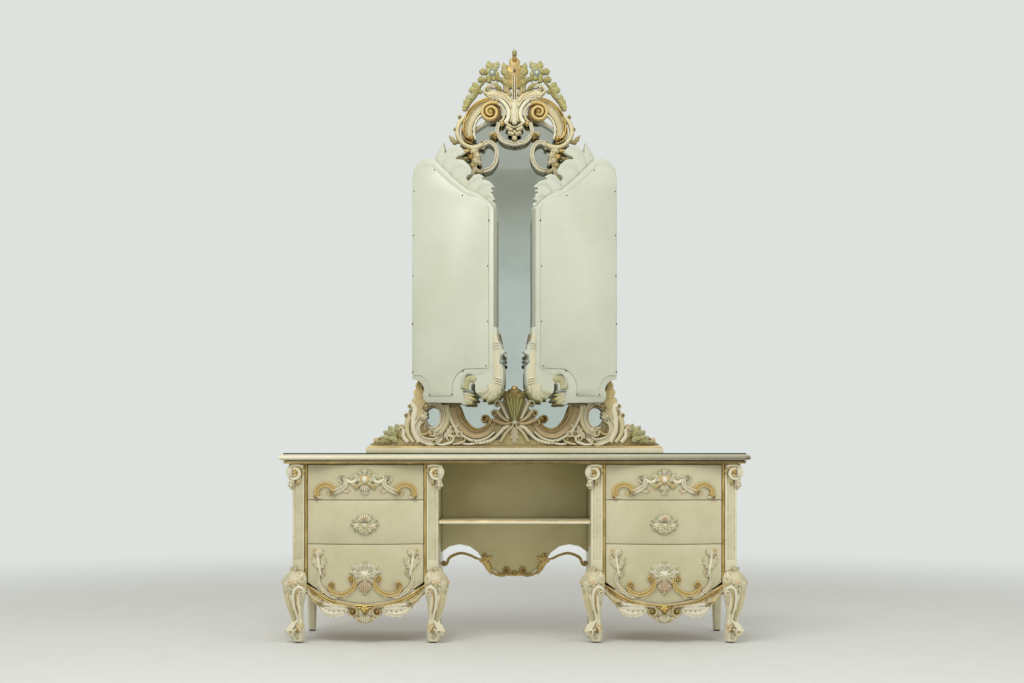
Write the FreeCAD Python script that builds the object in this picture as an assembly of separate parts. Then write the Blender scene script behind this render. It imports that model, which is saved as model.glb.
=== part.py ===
import FreeCAD, Part
import math
import os

# Poudreuse dressing table: two drawer pedestals, a kneehole with a shelf, and a winged mirror.
# Millimetres, +Z up, front towards -Y, origin on the floor under the middle of the table top.

# Overall sizes of the table
table_width = 1875.0
table_depth = 520.0
table_height = 760.0
overrun = 20.0

# Chords that carved outlines and curves are cut in
scroll_steps = 4
leaf_steps = 3
outline_steps = 3
curve_steps = 4
arch_steps = 7
moulding_steps = 3

# Table top: glass, board and moulded edge
glass_thick = 5.0
glass_inset = 16.0
board_thick = 24.0
edge_height = 37.5
edge_depth = 45.0
nose_drop = 15.0
nose_thick = 23.0
nose_crown_share = 0.3
nose_belly_share = 0.2
nose_lip_share = 0.6
astragal_radius = 6.5
astragal_inset = 16.0

# Pedestals
pedestal_width = 582.0
end_overhang = 49.5
front_overhang = 48.0
back_overhang = 15.0
post_size = 46.0
panel_thick = 18.0
back_thick = 6.0
floor_thick = 16.0
floor_drop = 16.5
flute_radius = 4.0
flute_count = 3

# Legs
knee_rise = 45.5
pad_height = 5.0
pad_radius = 14.0
leg_corner_share = 0.22
rear_leg_foot_size = 30.0
knee_eye_radius = 13.0
foot_eye_radius = 10.0
eye_relief = 6.0
eye_crown_share = 0.75
boss_sides = 8
leg_steps = 11
# Rows: height as a share of the leg, stand-out as a share of the post, and the eye's radius.
leg_eye_shares = [(0.78, 0.50, knee_eye_radius), (0.18, 0.12, foot_eye_radius)]
# Rows: height as a share of the leg, then the outer and inner faces' stand-out as shares of the post.
leg_section_shares = [
    (1.00, 0.00, 0.00),
    (0.82, 0.66, 0.00),
    (0.65, 0.55, -0.06),
    (0.50, 0.28, -0.09),
    (0.37, 0.02, -0.10),
    (0.28, -0.08, -0.10),
    (0.18, 0.26, -0.06),
    (0.10, 0.10, -0.04),
    (0.00, 0.02, -0.05),
]

# Capitals of the front posts
capital_height = 104.0
capital_reach = 33.0
capital_depth = 22.0
capital_eye_radius = 17.0
capital_return_share = 0.7
capital_eye_shares = (0.42, 0.78)

# Drawers
top_drawer_height = 140.0
middle_drawer_height = 174.0
bottom_drawer_height = 152.0
bottom_drawer_drop = 80.0
top_reveal = 4.0
drawer_gap = 2.5
drawer_side_gap = 1.5
bead_width = 12.0
front_thick = 22.0
front_set_back = 10.0
front_bow = 28.0
flank_share = 0.075
box_wall = 12.0
box_bottom_thick = 6.0
box_side_inset = 4.0
box_top_drop = 14.0
box_bottom_lift = 10.0
box_back_gap = 30.0
runner_clearance = 0.3
guide_clearance = 1.0
runner_ledge = 10.0
runner_ledge_thick = 8.0
runner_height = 44.0
rail_height = 14.0
rail_depth = 60.0

# Drawer handles
handle_relief = 9.0
handle_half_width = 200.0
handle_height = 110.0
handle_shell_relief = 20.0
top_shell_radius = 46.0
bottom_shell_radius = 44.0
bottom_handle_rise_share = 0.25
bow_facets = 6
knob_radius = 50.0
knob_boss_radius = 30.0
eye_radius = 11.0

# Aprons
apron_gap = 3.0
apron_depth = 24.0
apron_width = 62.0
apron_shell_drop = 96.0
apron_relief = 8.0
apron_steps = 12
skirt_drop_share = 0.8

# Kneehole
kneehole_back_set = 282.0
kneehole_back_thick = 15.0
kneehole_back_skirt = 483.0
shelf_drop = 270.0
shelf_thick = 14.0
shelf_set_back = 7.0
shelf_nose_radius = 5.0
trim_relief = 12.0
trim_band = 13.0
trim_end_radius = 9.0
trim_inner_radius = 10.0

# Mirror stand
mirror_plane_set = 425.0
plinth_width = 1250.0
plinth_height = 29.0
plinth_front = 60.0
plinth_back = 67.0
plinth_bevel = 9.0
base_half_width = 600.0
base_height = 274.0
base_depth = 26.0
base_relief = 10.0

# Centre mirror
mirror_frame_half_width = 411.0
mirror_frame_depth = 40.0
mirror_shoulder_height = 1040.0
mirror_shoulder_swell = 12.0
mirror_shoulder_lift = 14.0
mirror_shoulder_drop = 6.0
mirror_arch_radius = 268.0
mirror_shoulder_share = 0.84
shoulder_border_share = 0.8
spring_border_share = 0.2
mirror_arch_height = 1171.0
mirror_border = 36.0
mirror_arch_border = 13.0
mirror_bottom_border = 61.0
mirror_glass_thick = 5.0
rebate = 7.0
glass_clearance = 1.0
backboard_thick = 6.0
backboard_margin = 6.0
strut_width = 70.0
strut_thick = 20.0
strut_height = 1000.0
strut_spread = 420.0

# Crest
crest_half_width = 290.0
crest_height = 587.0
crest_base = 1096.0
crest_depth = 24.0
crest_relief = 14.0
crest_eye_radius = 15.0
flower_radius = 27.0
bud_radius = 21.5
stem_eye_radius = 10.5

# Mirror wings
wing_width = 370.0
wing_height = 1025.0
wing_base = 208.0
wing_depth = 52.0
wing_panel_thick = 4.0
wing_rest_angle = 20.0
wing_leaf_depth = 26.0
corbel_reach = 24.0
corbel_brow_reach = 31.0

# Wing hinges
hinge_pin_radius = 2.5
hinge_bore_clearance = 0.08
hinge_knuckle_radius = 4.5
hinge_gap = 3.0
hinge_side_clearance = 5.5
hinge_leaf_width = 26.0
hinge_leaf_thick = 2.0
hinge_length = 84.0
hinge_slit = 0.6
hinge_height_shares = [0.22, 0.82]

# Heights and depths that follow from the sizes above
top_z = table_height - glass_thick
board_bottom_z = top_z - board_thick
edge_bottom_z = top_z - edge_height
front_y = -table_depth / 2
back_y = table_depth / 2
post_front_y = front_y + front_overhang
post_back_y = post_front_y + post_size
case_back_y = back_y - back_overhang
pedestal_outer_x = table_width / 2 - end_overhang
kneehole_x = pedestal_outer_x - pedestal_width
pedestal_centre_x = kneehole_x + pedestal_width / 2
front_width = pedestal_width - 2 * (post_size + bead_width + drawer_side_gap)
flank_y = post_front_y + front_set_back
flank_width = flank_share * front_width
front_back_y = flank_y + front_thick
bow_chord = front_width / 2 - flank_width
bow_radius = (bow_chord ** 2 + front_bow ** 2) / (2 * front_bow)
bow_centre_y = flank_y - front_bow + bow_radius
top_drawer_z = edge_bottom_z - top_reveal - top_drawer_height
middle_drawer_z = top_drawer_z - drawer_gap - middle_drawer_height
bottom_drawer_z = middle_drawer_z - drawer_gap - bottom_drawer_height
floor_height = bottom_drawer_z - floor_drop
leg_height = bottom_drawer_z + knee_rise
shelf_height = table_height - shelf_drop
mirror_front_y = post_front_y - front_overhang + mirror_plane_set
mirror_back_y = mirror_front_y + mirror_frame_depth
plinth_top_z = table_height + plinth_height
hinge_x = -(mirror_frame_half_width + hinge_side_clearance)
hinge_y = mirror_front_y - hinge_gap
wing_bottom_z = table_height + wing_base
wing_front_y = hinge_y - hinge_gap
wing_back_y = wing_front_y - wing_depth


def vec(x, y, z):
    return FreeCAD.Vector(x, y, z)


def block(x0, x1, y0, y1, z0, z1):
    return Part.makeBox(x1 - x0, y1 - y0, z1 - z0, vec(x0, y0, z0))


def mirrored(shape):
    return shape.mirror(vec(0, 0, 0), vec(1, 0, 0))


def run_edge(points):
    """Two points give a line, three an arc, more a smooth curve."""
    if len(points) == 2:
        return Part.LineSegment(points[0], points[1]).toShape()
    if len(points) == 3:
        return Part.Arc(points[0], points[1], points[2]).toShape()
    curve = Part.BSplineCurve()
    curve.interpolate(points)
    return curve.toShape()


def run_edges(runs, place):
    return [run_edge([place(*share) for share in run]) for run in runs]


def face_of(edges):
    return Part.Face(Part.Wire(Part.__sortEdges__(edges)))


def edge_corners(edges, steps):
    """Corners of edges that meet end to end, with curves cut in chords, without the last place."""
    corners = []
    for edge in edges:
        straight = edge.Curve.TypeId == "Part::GeomLine"
        corners += edge.discretize(2 if straight else steps + 1)[:-1]
    return corners


def symmetric_face(edges, steps):
    """A face whose left half follows the edges, which start and end on its middle line."""
    last = edges[-1].Vertexes[-1].Point
    left = edge_corners(edges, steps)
    right = [vec(2 * last.x - corner.x, corner.y, corner.z) for corner in reversed(left[1:])]
    return flat_face(left + [last] + right)


def closed_face(runs, place, steps):
    """A face inside runs that meet end to end and come back to their start."""
    return flat_face(edge_corners(run_edges(runs, place), steps))


def upright(centre_x, y, base_z, width, height):
    """Places shares of a width and a height on the upright plane at y."""
    return lambda u, v: vec(centre_x + u * width, y, base_z + v * height)


def deep(face, depth):
    return face.extrude(vec(0, depth, 0))


def arc_points(start, middle, end, steps):
    """Evenly spaced points on the arc through three places."""
    return Part.Arc(start, middle, end).toShape().discretize(steps + 1)


def crescent(place, start, end, outer, inner):
    """The body of a carved C-scroll: two arcs, cut in facets, that meet at its ends."""
    outside = arc_points(place(*start), place(*outer), place(*end), scroll_steps)
    inside = arc_points(place(*end), place(*inner), place(*start), scroll_steps)
    return Part.Face(Part.makePolygon(outside + inside[1:]))


def ring(centre, radius, sides, toward):
    """Corners of a regular many-sided ring about centre, square to the direction toward."""
    turn = FreeCAD.Rotation(vec(0, 0, 1), toward)
    angles = [math.tau * number / sides for number in range(sides)]
    return [centre + turn.multVec(vec(math.cos(angle), math.sin(angle), 0)) * radius for angle in angles]


def flat_face(corners):
    return Part.Face(Part.makePolygon(corners + corners[:1]))


def faceted(rings):
    """A solid with flat sides between similar rings of corners, from its foot to its head."""
    faces = [flat_face(rings[0]), flat_face(rings[-1])]
    for low, high in zip(rings, rings[1:]):
        for number in range(len(low)):
            following = (number + 1) % len(low)
            faces.append(flat_face([low[number], low[following], high[following], high[number]]))
    shell = Part.Shell(faces)
    shell.sewShape()
    solid = Part.Solid(shell)
    if solid.Volume < 0:
        solid.reverse()
    return solid


def boss(centre, radius, crown_radius, depth, toward):
    """A round boss cut with a few facets, which narrows to its crown."""
    return faceted([ring(centre, radius, boss_sides, toward),
                    ring(centre + toward * depth, crown_radius, boss_sides, toward)])


def pierced(place, centre, half_u, half_v, depth):
    """A cutter for a pointed oval opening that goes through a carving of the stated depth."""
    u, v = centre
    oval = crescent(place, (u, v - half_v), (u, v + half_v), (u - half_u, v), (u + half_u, v))
    oval.translate(vec(0, -overrun, 0))
    return deep(oval, depth + 2 * overrun)


def eye(place, centre, radius, depth):
    """The round eye that ends a scroll."""
    return deep(flat_face(ring(place(*centre), radius, boss_sides, vec(0, 1, 0))), depth)


def leaf(place, foot, tip, width):
    """A pointed leaf between two places, as wide as stated at its middle."""
    low = place(*foot)
    high = place(*tip)
    across = (high - low).cross(vec(0, 1, 0)).normalize() * (width / 2)
    middle = (low + high) / 2
    near = arc_points(low, middle + across, high, leaf_steps)
    far = arc_points(high, middle - across, low, leaf_steps)
    return Part.Face(Part.makePolygon(near + far[1:]))


def carve(place, depth, scroll_shares, leaf_shares, leaf_size, eyes):
    """All raised carving of one piece, as one list of solids; leaf widths are shares of leaf_size."""
    solids = [deep(crescent(place, *row), depth) for row in scroll_shares]
    solids += [deep(leaf(place, foot, tip, width * leaf_size), depth) for foot, tip, width in leaf_shares]
    solids += [eye(place, centre, radius, depth) for centre, radius in eyes]
    return solids


def both_sides(solids, centre_x):
    """The solids and their images about the upright plane at centre_x."""
    return solids + [solid.mirror(vec(centre_x, 0, 0), vec(1, 0, 0)) for solid in solids]


def fused(solids):
    whole = solids[0]
    if len(solids) > 1:
        whole = whole.fuse(solids[1:])
    return whole.removeSplitter()


def export(name, solids):
    shape = solids[0] if len(solids) == 1 else Part.makeCompound(solids)
    shape.exportStep("parts/" + name + ".step")


# Table top
def glass_top():
    x = table_width / 2 - glass_inset
    return block(-x, x, front_y + glass_inset, back_y, top_z, table_height)


def table_top():
    x = table_width / 2 - edge_depth
    return block(-x, x, front_y + edge_depth, back_y, board_bottom_z, top_z)


def edge_moulding():
    """Thumb nose over a cove and an astragal, run round the front and both ends."""
    inner_x = -table_width / 2 + edge_depth
    astragal_out = edge_depth - astragal_inset - astragal_radius
    astragal_top = edge_height - 2 * astragal_radius
    lip_out = edge_depth - nose_drop * nose_lip_share

    def at(out, drop):
        return vec(inner_x - out, back_y, top_z - drop)

    corner = at(0, 0)
    nose_start = at(edge_depth - nose_drop, 0)
    nose_crown = at(edge_depth - nose_drop * nose_crown_share, nose_drop * nose_crown_share)
    nose_front = at(edge_depth, nose_drop)
    nose_belly = at(edge_depth - nose_drop * nose_belly_share, nose_thick - nose_drop * nose_belly_share)
    lip = at(lip_out, nose_thick)
    bead_top = at(astragal_out, astragal_top)
    bead_front = at(astragal_out + astragal_radius, edge_height - astragal_radius)
    bead_foot = at(astragal_out, edge_height)
    runs = [[corner, nose_start], [nose_start, nose_crown, nose_front], [nose_front, nose_belly, lip],
            [lip, bead_top], [bead_top, bead_front, bead_foot], [bead_foot, at(0, edge_height)]]
    profile = flat_face(edge_corners([run_edge(run) for run in runs], moulding_steps) + [at(0, edge_height)])
    end = profile.extrude(vec(0, front_y - back_y, 0))
    turned = profile.copy()
    turned.rotate(corner, vec(0, 0, 1), 90)
    turned.translate(vec(-edge_depth, front_y + edge_depth - back_y, 0))
    front = turned.extrude(vec(table_width, 0, 0))
    front_corner = vec(-table_width / 2, front_y, 0)
    mitre = flat_face([front_corner, front_corner + vec(table_width / 2, table_width / 2, 0),
                       front_corner + vec(0, table_width / 2, 0)])
    left_zone = mitre.extrude(vec(0, 0, table_height))
    left = end.common(left_zone)
    front = front.cut(left_zone).cut(mirrored(left_zone))
    return [left, front, mirrored(left)]


# Serpentine fronts
def bow_edges(offset, half_width, z, centre_x):
    """Plan of the bowed front, moved forward by offset: a flank, the bow and a flank."""
    y = flank_y - offset
    radius = bow_radius + offset
    turn_x = math.sqrt(radius ** 2 - (bow_centre_y - y) ** 2)
    crown_y = bow_centre_y - radius
    left = vec(centre_x - half_width, y, z)
    left_turn = vec(centre_x - turn_x, y, z)
    right_turn = vec(centre_x + turn_x, y, z)
    right = vec(centre_x + half_width, y, z)
    return [left, run_edge([left, left_turn]),
            run_edge([left_turn, vec(centre_x, crown_y, z), right_turn]),
            run_edge([right_turn, right]), right]


def bow_band(inner, outer, half_width, z0, z1, centre_x):
    """A wall between two parallel plans of the bowed front."""
    back_left, *back_edges, back_right = bow_edges(inner, half_width, z0, centre_x)
    front_left, *front_edges, front_right = bow_edges(outer, half_width, z0, centre_x)
    sides = [run_edge([back_left, front_left]), run_edge([back_right, front_right])]
    return face_of(back_edges + front_edges + sides).extrude(vec(0, 0, z1 - z0))


def drawer_heights(level):
    """Lowest height at the sides, top height, and the drop of the lower edge at the centre."""
    if level == "top":
        return top_drawer_z, top_drawer_z + top_drawer_height, 0
    if level == "middle":
        return middle_drawer_z, middle_drawer_z + middle_drawer_height, 0
    return bottom_drawer_z, bottom_drawer_z + bottom_drawer_height, bottom_drawer_drop


def curved_silhouette(centre_x, z_side, z_top, drop, half_width, y):
    """A rectangle whose lower edge hangs down in an arc."""
    left = vec(centre_x - half_width, y, z_side)
    right = vec(centre_x + half_width, y, z_side)
    left_top = vec(centre_x - half_width, y, z_top)
    right_top = vec(centre_x + half_width, y, z_top)
    lower = run_edge([left, right]) if drop == 0 else run_edge([left, vec(centre_x, y, z_side - drop), right])
    return face_of([lower, run_edge([right, right_top]), run_edge([right_top, left_top]),
                    run_edge([left_top, left])])


def drawer_front(level, centre_x):
    z0, z1, drop = drawer_heights(level)
    wall = bow_band(-front_thick, 0, front_width / 2, z0 - drop, z1, centre_x)
    if drop == 0:
        return wall
    outline = curved_silhouette(centre_x, z0, z1, drop, front_width / 2, front_y)
    return wall.common(deep(outline, table_depth))


def drawer_box(level, centre_x):
    """Two sides and a back that stand on a bottom; the bottom reaches into the bow of the front."""
    z0, z1, _ = drawer_heights(level)
    half = front_width / 2 - box_side_inset
    low = z0 + box_bottom_lift
    high = z1 - box_top_drop
    back = case_back_y - back_thick - box_back_gap
    side_low = low + box_bottom_thick
    _, *bow, _ = bow_edges(-front_thick, half, low, centre_x)
    front_left = vec(centre_x - half, front_back_y, low)
    front_right = vec(centre_x + half, front_back_y, low)
    back_left = vec(centre_x - half, back, low)
    back_right = vec(centre_x + half, back, low)
    bottom = face_of(bow + [run_edge([front_left, back_left]), run_edge([back_left, back_right]),
                            run_edge([back_right, front_right])]).extrude(vec(0, 0, box_bottom_thick))
    left = block(centre_x - half, centre_x - half + box_wall, front_back_y, back, side_low, high)
    right = block(centre_x + half - box_wall, centre_x + half, front_back_y, back, side_low, high)
    rear = block(centre_x - half + box_wall, centre_x + half - box_wall, back - box_wall, back,
                 side_low, high)
    return [bottom, left, right, rear]


# Handles: carved mounts that follow the bow of the fronts
def faceted_bow(offset, half_width, centre_x):
    """Plan of the bowed front in chords that touch it from outside, moved forward by offset."""
    half_turn = math.asin(bow_chord / bow_radius)
    step = 2 * half_turn / bow_facets
    reach = (bow_radius + offset) / math.cos(step / 2)
    turns = [step * (number + 0.5) - half_turn for number in range(bow_facets)]
    y = flank_y - offset
    bow = [vec(centre_x + reach * math.sin(turn), bow_centre_y - reach * math.cos(turn), 0) for turn in turns]
    return ([vec(centre_x - half_width, y, 0), vec(centre_x - bow_chord, y, 0)] + bow
            + [vec(centre_x + bow_chord, y, 0), vec(centre_x + half_width, y, 0)])


def bow_layer(inner, outer, half_width, centre_x):
    """A tall layer between two offsets of the bowed front, cut in flat facets."""
    back = faceted_bow(inner, half_width, centre_x)
    front = faceted_bow(outer, half_width, centre_x)
    return flat_face(back + front[::-1]).extrude(vec(0, 0, table_height))


def on_bow(solids, relief, centre_x):
    """Trims deep solids to a layer of the stated relief on the bowed front."""
    layer = bow_layer(0, relief, front_width / 2, centre_x)
    return [solid.common(layer) for solid in solids]


def shell_boss(centre_x, z, radius):
    """A shell that stands on the crown of the bow."""
    foot = vec(centre_x, flank_y, z)
    depth = front_bow + handle_shell_relief
    shell = boss(foot, radius, radius * eye_crown_share, depth, vec(0, -1, 0))
    return shell.common(bow_layer(0, depth, front_width / 2, centre_x))


def top_handle(centre_x):
    z0, z1, _ = drawer_heights("top")
    place = upright(centre_x, front_y, (z0 + z1) / 2, handle_half_width, handle_height)
    depth = table_depth / 2
    scroll_shares = [
        ((-0.99, -0.42), (-0.66, -0.32), (-0.80, 0.05), (-0.81, -0.13)),
        ((-0.66, -0.32), (-0.44, 0.28), (-0.42, -0.12), (-0.52, -0.06)),
    ]
    leaf_shares = [((-0.44, 0.0), (-0.10, 0.15), 0.20)]
    tail_shares = [((0.0, 0.0), (0.0, -0.62), 0.40)]
    eyes = [((-0.96, -0.42), eye_radius), ((-0.66, -0.30), eye_radius), ((-0.46, 0.26), eye_radius)]
    solids = both_sides(carve(place, depth, scroll_shares, leaf_shares, handle_height, eyes), centre_x)
    solids += carve(place, depth, [], tail_shares, handle_height, [])
    shell = shell_boss(centre_x, (z0 + z1) / 2, top_shell_radius)
    return fused([shell] + on_bow(solids, handle_relief, centre_x))


def middle_handle(centre_x):
    """A flower knob on a ring of leaves."""
    z0, z1, _ = drawer_heights("middle")
    middle_z = (z0 + z1) / 2
    place = upright(centre_x, front_y, middle_z, knob_radius, knob_radius)
    tip_shares = [(0.0, 0.9), (0.8, 0.5), (1.0, -0.25), (0.45, -0.8)]
    leaf_shares = [((0, 0), tip, 0.55) for tip in tip_shares]
    leaves = carve(place, table_depth / 2, [], leaf_shares, knob_radius, [])
    solids = on_bow(both_sides(leaves, centre_x), handle_relief, centre_x)
    knob = shell_boss(centre_x, middle_z, knob_boss_radius)
    return fused([knob] + solids)


def bottom_handle(centre_x):
    z0, z1, _ = drawer_heights("bottom")
    shell_z = z0 + bottom_handle_rise_share * (z1 - z0)
    place = upright(centre_x, front_y, shell_z, handle_half_width, handle_height)
    depth = table_depth / 2
    scroll_shares = [
        ((-0.95, 0.90), (-0.78, -0.60), (-1.06, 0.0), (-0.93, 0.0)),
        ((-0.78, -0.62), (-0.28, -0.05), (-0.48, -0.80), (-0.50, -0.56)),
    ]
    leaf_shares = [((-0.98, 0.3), (-0.80, 0.75), 0.15), ((-0.28, -0.10), (-0.05, 0.30), 0.30)]
    tail_shares = [((0.0, 0.0), (0.0, -0.68), 0.45)]
    eyes = [((-0.93, 0.86), eye_radius), ((-0.78, -0.56), eye_radius), ((-0.29, -0.14), eye_radius)]
    solids = both_sides(carve(place, depth, scroll_shares, leaf_shares, handle_height, eyes), centre_x)
    solids += carve(place, depth, [], tail_shares, handle_height, [])
    shell = shell_boss(centre_x, shell_z, bottom_shell_radius)
    return fused([shell] + on_bow(solids, handle_relief, centre_x))


# Pedestal case
def side_panel(outer_x, inward):
    """A pedestal side; inward is +1 or -1, from its outer face to its inner face."""
    other_x = outer_x + inward * panel_thick
    low = min(outer_x, other_x)
    high = max(outer_x, other_x)
    return block(low, high, post_back_y, case_back_y, floor_height - floor_thick, board_bottom_z)


def case_back(centre_x):
    half = pedestal_width / 2 - panel_thick
    return block(centre_x - half, centre_x + half, case_back_y - back_thick, case_back_y,
                 floor_height, board_bottom_z)


def case_floor(centre_x):
    half = pedestal_width / 2 - panel_thick
    return block(centre_x - half, centre_x + half, post_back_y, case_back_y, floor_height - floor_thick,
                 floor_height)


def case_rail(centre_x):
    """The rail over the top drawer, between the posts."""
    half = pedestal_width / 2 - post_size
    return block(centre_x - half, centre_x + half, post_front_y, post_front_y + rail_depth,
                 board_bottom_z - rail_height, board_bottom_z)


def runner(level, centre_x, side):
    """A guide with a ledge that the side of a drawer box slides on."""
    z0, _, _ = drawer_heights(level)
    box_half = front_width / 2 - box_side_inset
    case_half = pedestal_width / 2 - panel_thick
    ledge_top = z0 + box_bottom_lift - runner_clearance
    near = centre_x + side * (box_half + guide_clearance)
    under = centre_x + side * (box_half - runner_ledge)
    far = centre_x + side * case_half
    back = case_back_y - back_thick

    def strip(x_a, x_b, z_a, z_b):
        return block(min(x_a, x_b), max(x_a, x_b), post_back_y, back, z_a, z_b)

    ledge = strip(under, far, ledge_top - runner_ledge_thick, ledge_top)
    guide = strip(near, far, ledge_top - runner_ledge_thick, ledge_top + runner_height)
    return fused([ledge, guide])


def front_post(outer_x, inward):
    """A square post with flutes down its front."""
    x_a = outer_x
    x_b = outer_x + inward * post_size
    low = min(x_a, x_b)
    post = block(low, low + post_size, post_front_y, post_back_y, leg_height, board_bottom_z)
    pitch = post_size / (flute_count + 1)
    for number in range(1, flute_count + 1):
        bottom = vec(low + number * pitch, post_front_y, leg_height + post_size)
        flute = boss(bottom, flute_radius, flute_radius, board_bottom_z - leg_height, vec(0, 0, 1))
        post = post.cut(flute)
    return post


def octagon(x0, x1, y0, y1, z, cut):
    """A rectangle with its corners cut off."""
    corners = [(x0 + cut, y0), (x1 - cut, y0), (x1, y0 + cut), (x1, y1 - cut),
               (x1 - cut, y1), (x0 + cut, y1), (x0, y1 - cut), (x0, y0 + cut)]
    return [vec(x, y, z) for x, y in corners]


def cabriole_leg():
    """The left pedestal's outer front leg: carved knee, slim ankle and a scrolled foot."""
    rows = [vec(*row) for row in reversed(leg_section_shares)]
    profile = Part.BSplineCurve()
    profile.interpolate(Points=rows, Parameters=[row.x for row in rows])
    sections = []
    for step in range(leg_steps + 1):
        height_share, outer_share, inner_share = profile.value(step / leg_steps)
        z = pad_height + height_share * (leg_height - pad_height)
        x0 = -pedestal_outer_x - outer_share * post_size
        x1 = -pedestal_outer_x + post_size + inner_share * post_size
        y0 = post_front_y - outer_share * post_size
        y1 = post_back_y + inner_share * post_size
        sections.append(octagon(x0, x1, y0, y1, z, leg_corner_share * (x1 - x0)))
    body = faceted(sections)
    eyes = []
    for height_share, out_share, radius in leg_eye_shares:
        z = leg_height * height_share
        x = -pedestal_outer_x - out_share * post_size
        y = post_front_y - out_share * post_size
        eyes.append(boss(vec(x + radius, y + post_size / 2, z), radius, radius * eye_crown_share,
                         post_size / 2 + eye_relief, vec(0, -1, 0)))
        eyes.append(boss(vec(x + post_size / 2, y + radius, z), radius, radius * eye_crown_share,
                         post_size / 2 + eye_relief, vec(-1, 0, 0)))
    room = block(-table_width, -pedestal_outer_x + post_size, -table_depth, post_back_y, 0, leg_height)
    return fused([body] + eyes).common(room)


def rear_leg(outer_x, inward):
    """A plain tapered rear leg under the corner of the case."""
    x_a = outer_x
    x_b = outer_x + inward * post_size
    low = min(x_a, x_b)
    y0 = case_back_y - post_size
    shrink = (post_size - rear_leg_foot_size) / 2
    foot = octagon(low + shrink, low + post_size - shrink, y0 + shrink, case_back_y - shrink,
                   pad_height, leg_corner_share * rear_leg_foot_size)
    head = octagon(low, low + post_size, y0, case_back_y, floor_height - floor_thick,
                   leg_corner_share * post_size)
    return faceted([foot, head])


def foot_pads():
    pads = []
    foot_back = case_back_y - post_size / 2
    foot_front = post_front_y + post_size / 2
    for x in (pedestal_outer_x - post_size / 2, kneehole_x + post_size / 2):
        for side in (-1, 1):
            for y in (foot_front, foot_back):
                pads.append(boss(vec(side * x, y, 0), pad_radius, pad_radius, pad_height, vec(0, 0, 1)))
    return pads


# The console's outline: shares of its reach past the post and of its height.
capital_outline_shares = [
    (-1.2, 1.0), (0.35, 1.0), (0.8, 0.95), (1.0, 0.82), (0.92, 0.68), (0.6, 0.6),
    (0.3, 0.52), (0.18, 0.36), (-0.1, 0.16), (-0.5, 0.0), (-1.0, 0.1), (-1.2, 0.3),
]


def capital(outer_x, outward):
    """A carved console under the table edge that scrolls out past the post."""
    y0 = post_front_y - capital_depth
    place = upright(outer_x, y0, edge_bottom_z - capital_height, outward * capital_reach, capital_height)
    body = deep(flat_face([place(*corner) for corner in capital_outline_shares]),
                capital_depth + capital_return_share * post_size)
    centre = place(*capital_eye_shares) + vec(0, capital_depth, 0)
    volute = boss(centre, capital_eye_radius, capital_eye_radius * eye_crown_share,
                  capital_depth + eye_relief, vec(0, -1, 0))
    inside_x = outer_x - outward * post_size
    post = block(min(outer_x, inside_x), max(outer_x, inside_x), post_front_y, post_back_y,
                 0, table_height)
    return fused([body, volute]).cut(post)


def gilt_bead(x):
    """A bead that stands between a post and the drawers."""
    height = board_bottom_z - rail_height - bottom_drawer_z
    return boss(vec(x, flank_y, bottom_drawer_z), bead_width / 2, bead_width / 2, height, vec(0, 0, 1))


def hanging_outline(centre_x, z_side, drop, half_width):
    """An upright sheet whose lower edge hangs down in an arc of short chords."""
    place = upright(centre_x, front_y, z_side, half_width, drop)
    lower = arc_points(place(-1, 0), place(0, -1), place(1, 0), apron_steps)
    right_top = vec(centre_x + half_width, front_y, table_height)
    left_top = vec(centre_x - half_width, front_y, table_height)
    return flat_face(lower + [right_top, left_top])


def apron(centre_x):
    """The carved apron below the bottom drawer, with its shell and scroll eyes."""
    half = pedestal_width / 2 - post_size
    z0 = bottom_drawer_z - apron_gap
    rim = hanging_outline(centre_x, z0, bottom_drawer_drop, half)
    skirt = hanging_outline(centre_x, z0 - apron_width, skirt_drop_share * bottom_drawer_drop, half)
    place = upright(centre_x, front_y, z0 - bottom_drawer_drop, half, apron_shell_drop)
    shell_shares = [((0.0, 0.35), (0.0, -0.86), 0.70)]
    lobe_shares = [((-0.45, 0.35), (-0.30, -0.40), 0.50), ((-0.72, 0.55), (-0.62, -0.28), 0.45)]
    lobes = carve(place, table_depth, [], lobe_shares, apron_shell_drop, [])
    drops = both_sides(lobes, centre_x) + carve(place, table_depth, [], shell_shares, apron_shell_drop, [])
    opening = deep(rim, table_depth)
    sheet = deep(skirt.cut(rim), table_depth)
    drops = [drop.cut(opening) for drop in drops]
    layer = bow_layer(-apron_depth, 0, half, centre_x)
    plate = fused([sheet] + drops).common(layer)
    eyes = [((-0.20, -0.38), eye_radius), ((-0.80, 0.62), eye_radius)]
    knobs = both_sides(carve(place, table_depth, [], [], apron_shell_drop, eyes), centre_x)
    raised = bow_layer(-apron_depth, apron_relief, half, centre_x)
    return fused([plate] + [knob.cut(opening).common(raised) for knob in knobs])


# Kneehole
kneehole_back_y = post_front_y + kneehole_back_set
# Rows of the panel's sides and lower edge: shares of half the width and of the panel's height.
kneehole_side_shares = [
    [(0.0, 1.0), (-1.0, 1.0)],
    [(-1.0, 1.0), (-1.0, 0.20)],
]
kneehole_edge_shares = [
    [(-1.0, 0.20), (-0.74, 0.27), (-0.50, 0.20)],
    [(-0.50, 0.20), (-0.38, 0.10), (-0.28, 0.04)],
    [(-0.28, 0.04), (-0.14, 0.0), (0.0, 0.0)],
]


def kneehole_back():
    skirt_z = board_bottom_z - kneehole_back_skirt
    place = upright(0, kneehole_back_y, skirt_z, kneehole_x, board_bottom_z - skirt_z)
    runs = kneehole_side_shares + kneehole_edge_shares
    return deep(symmetric_face(run_edges(runs, place), curve_steps), kneehole_back_thick)


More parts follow.
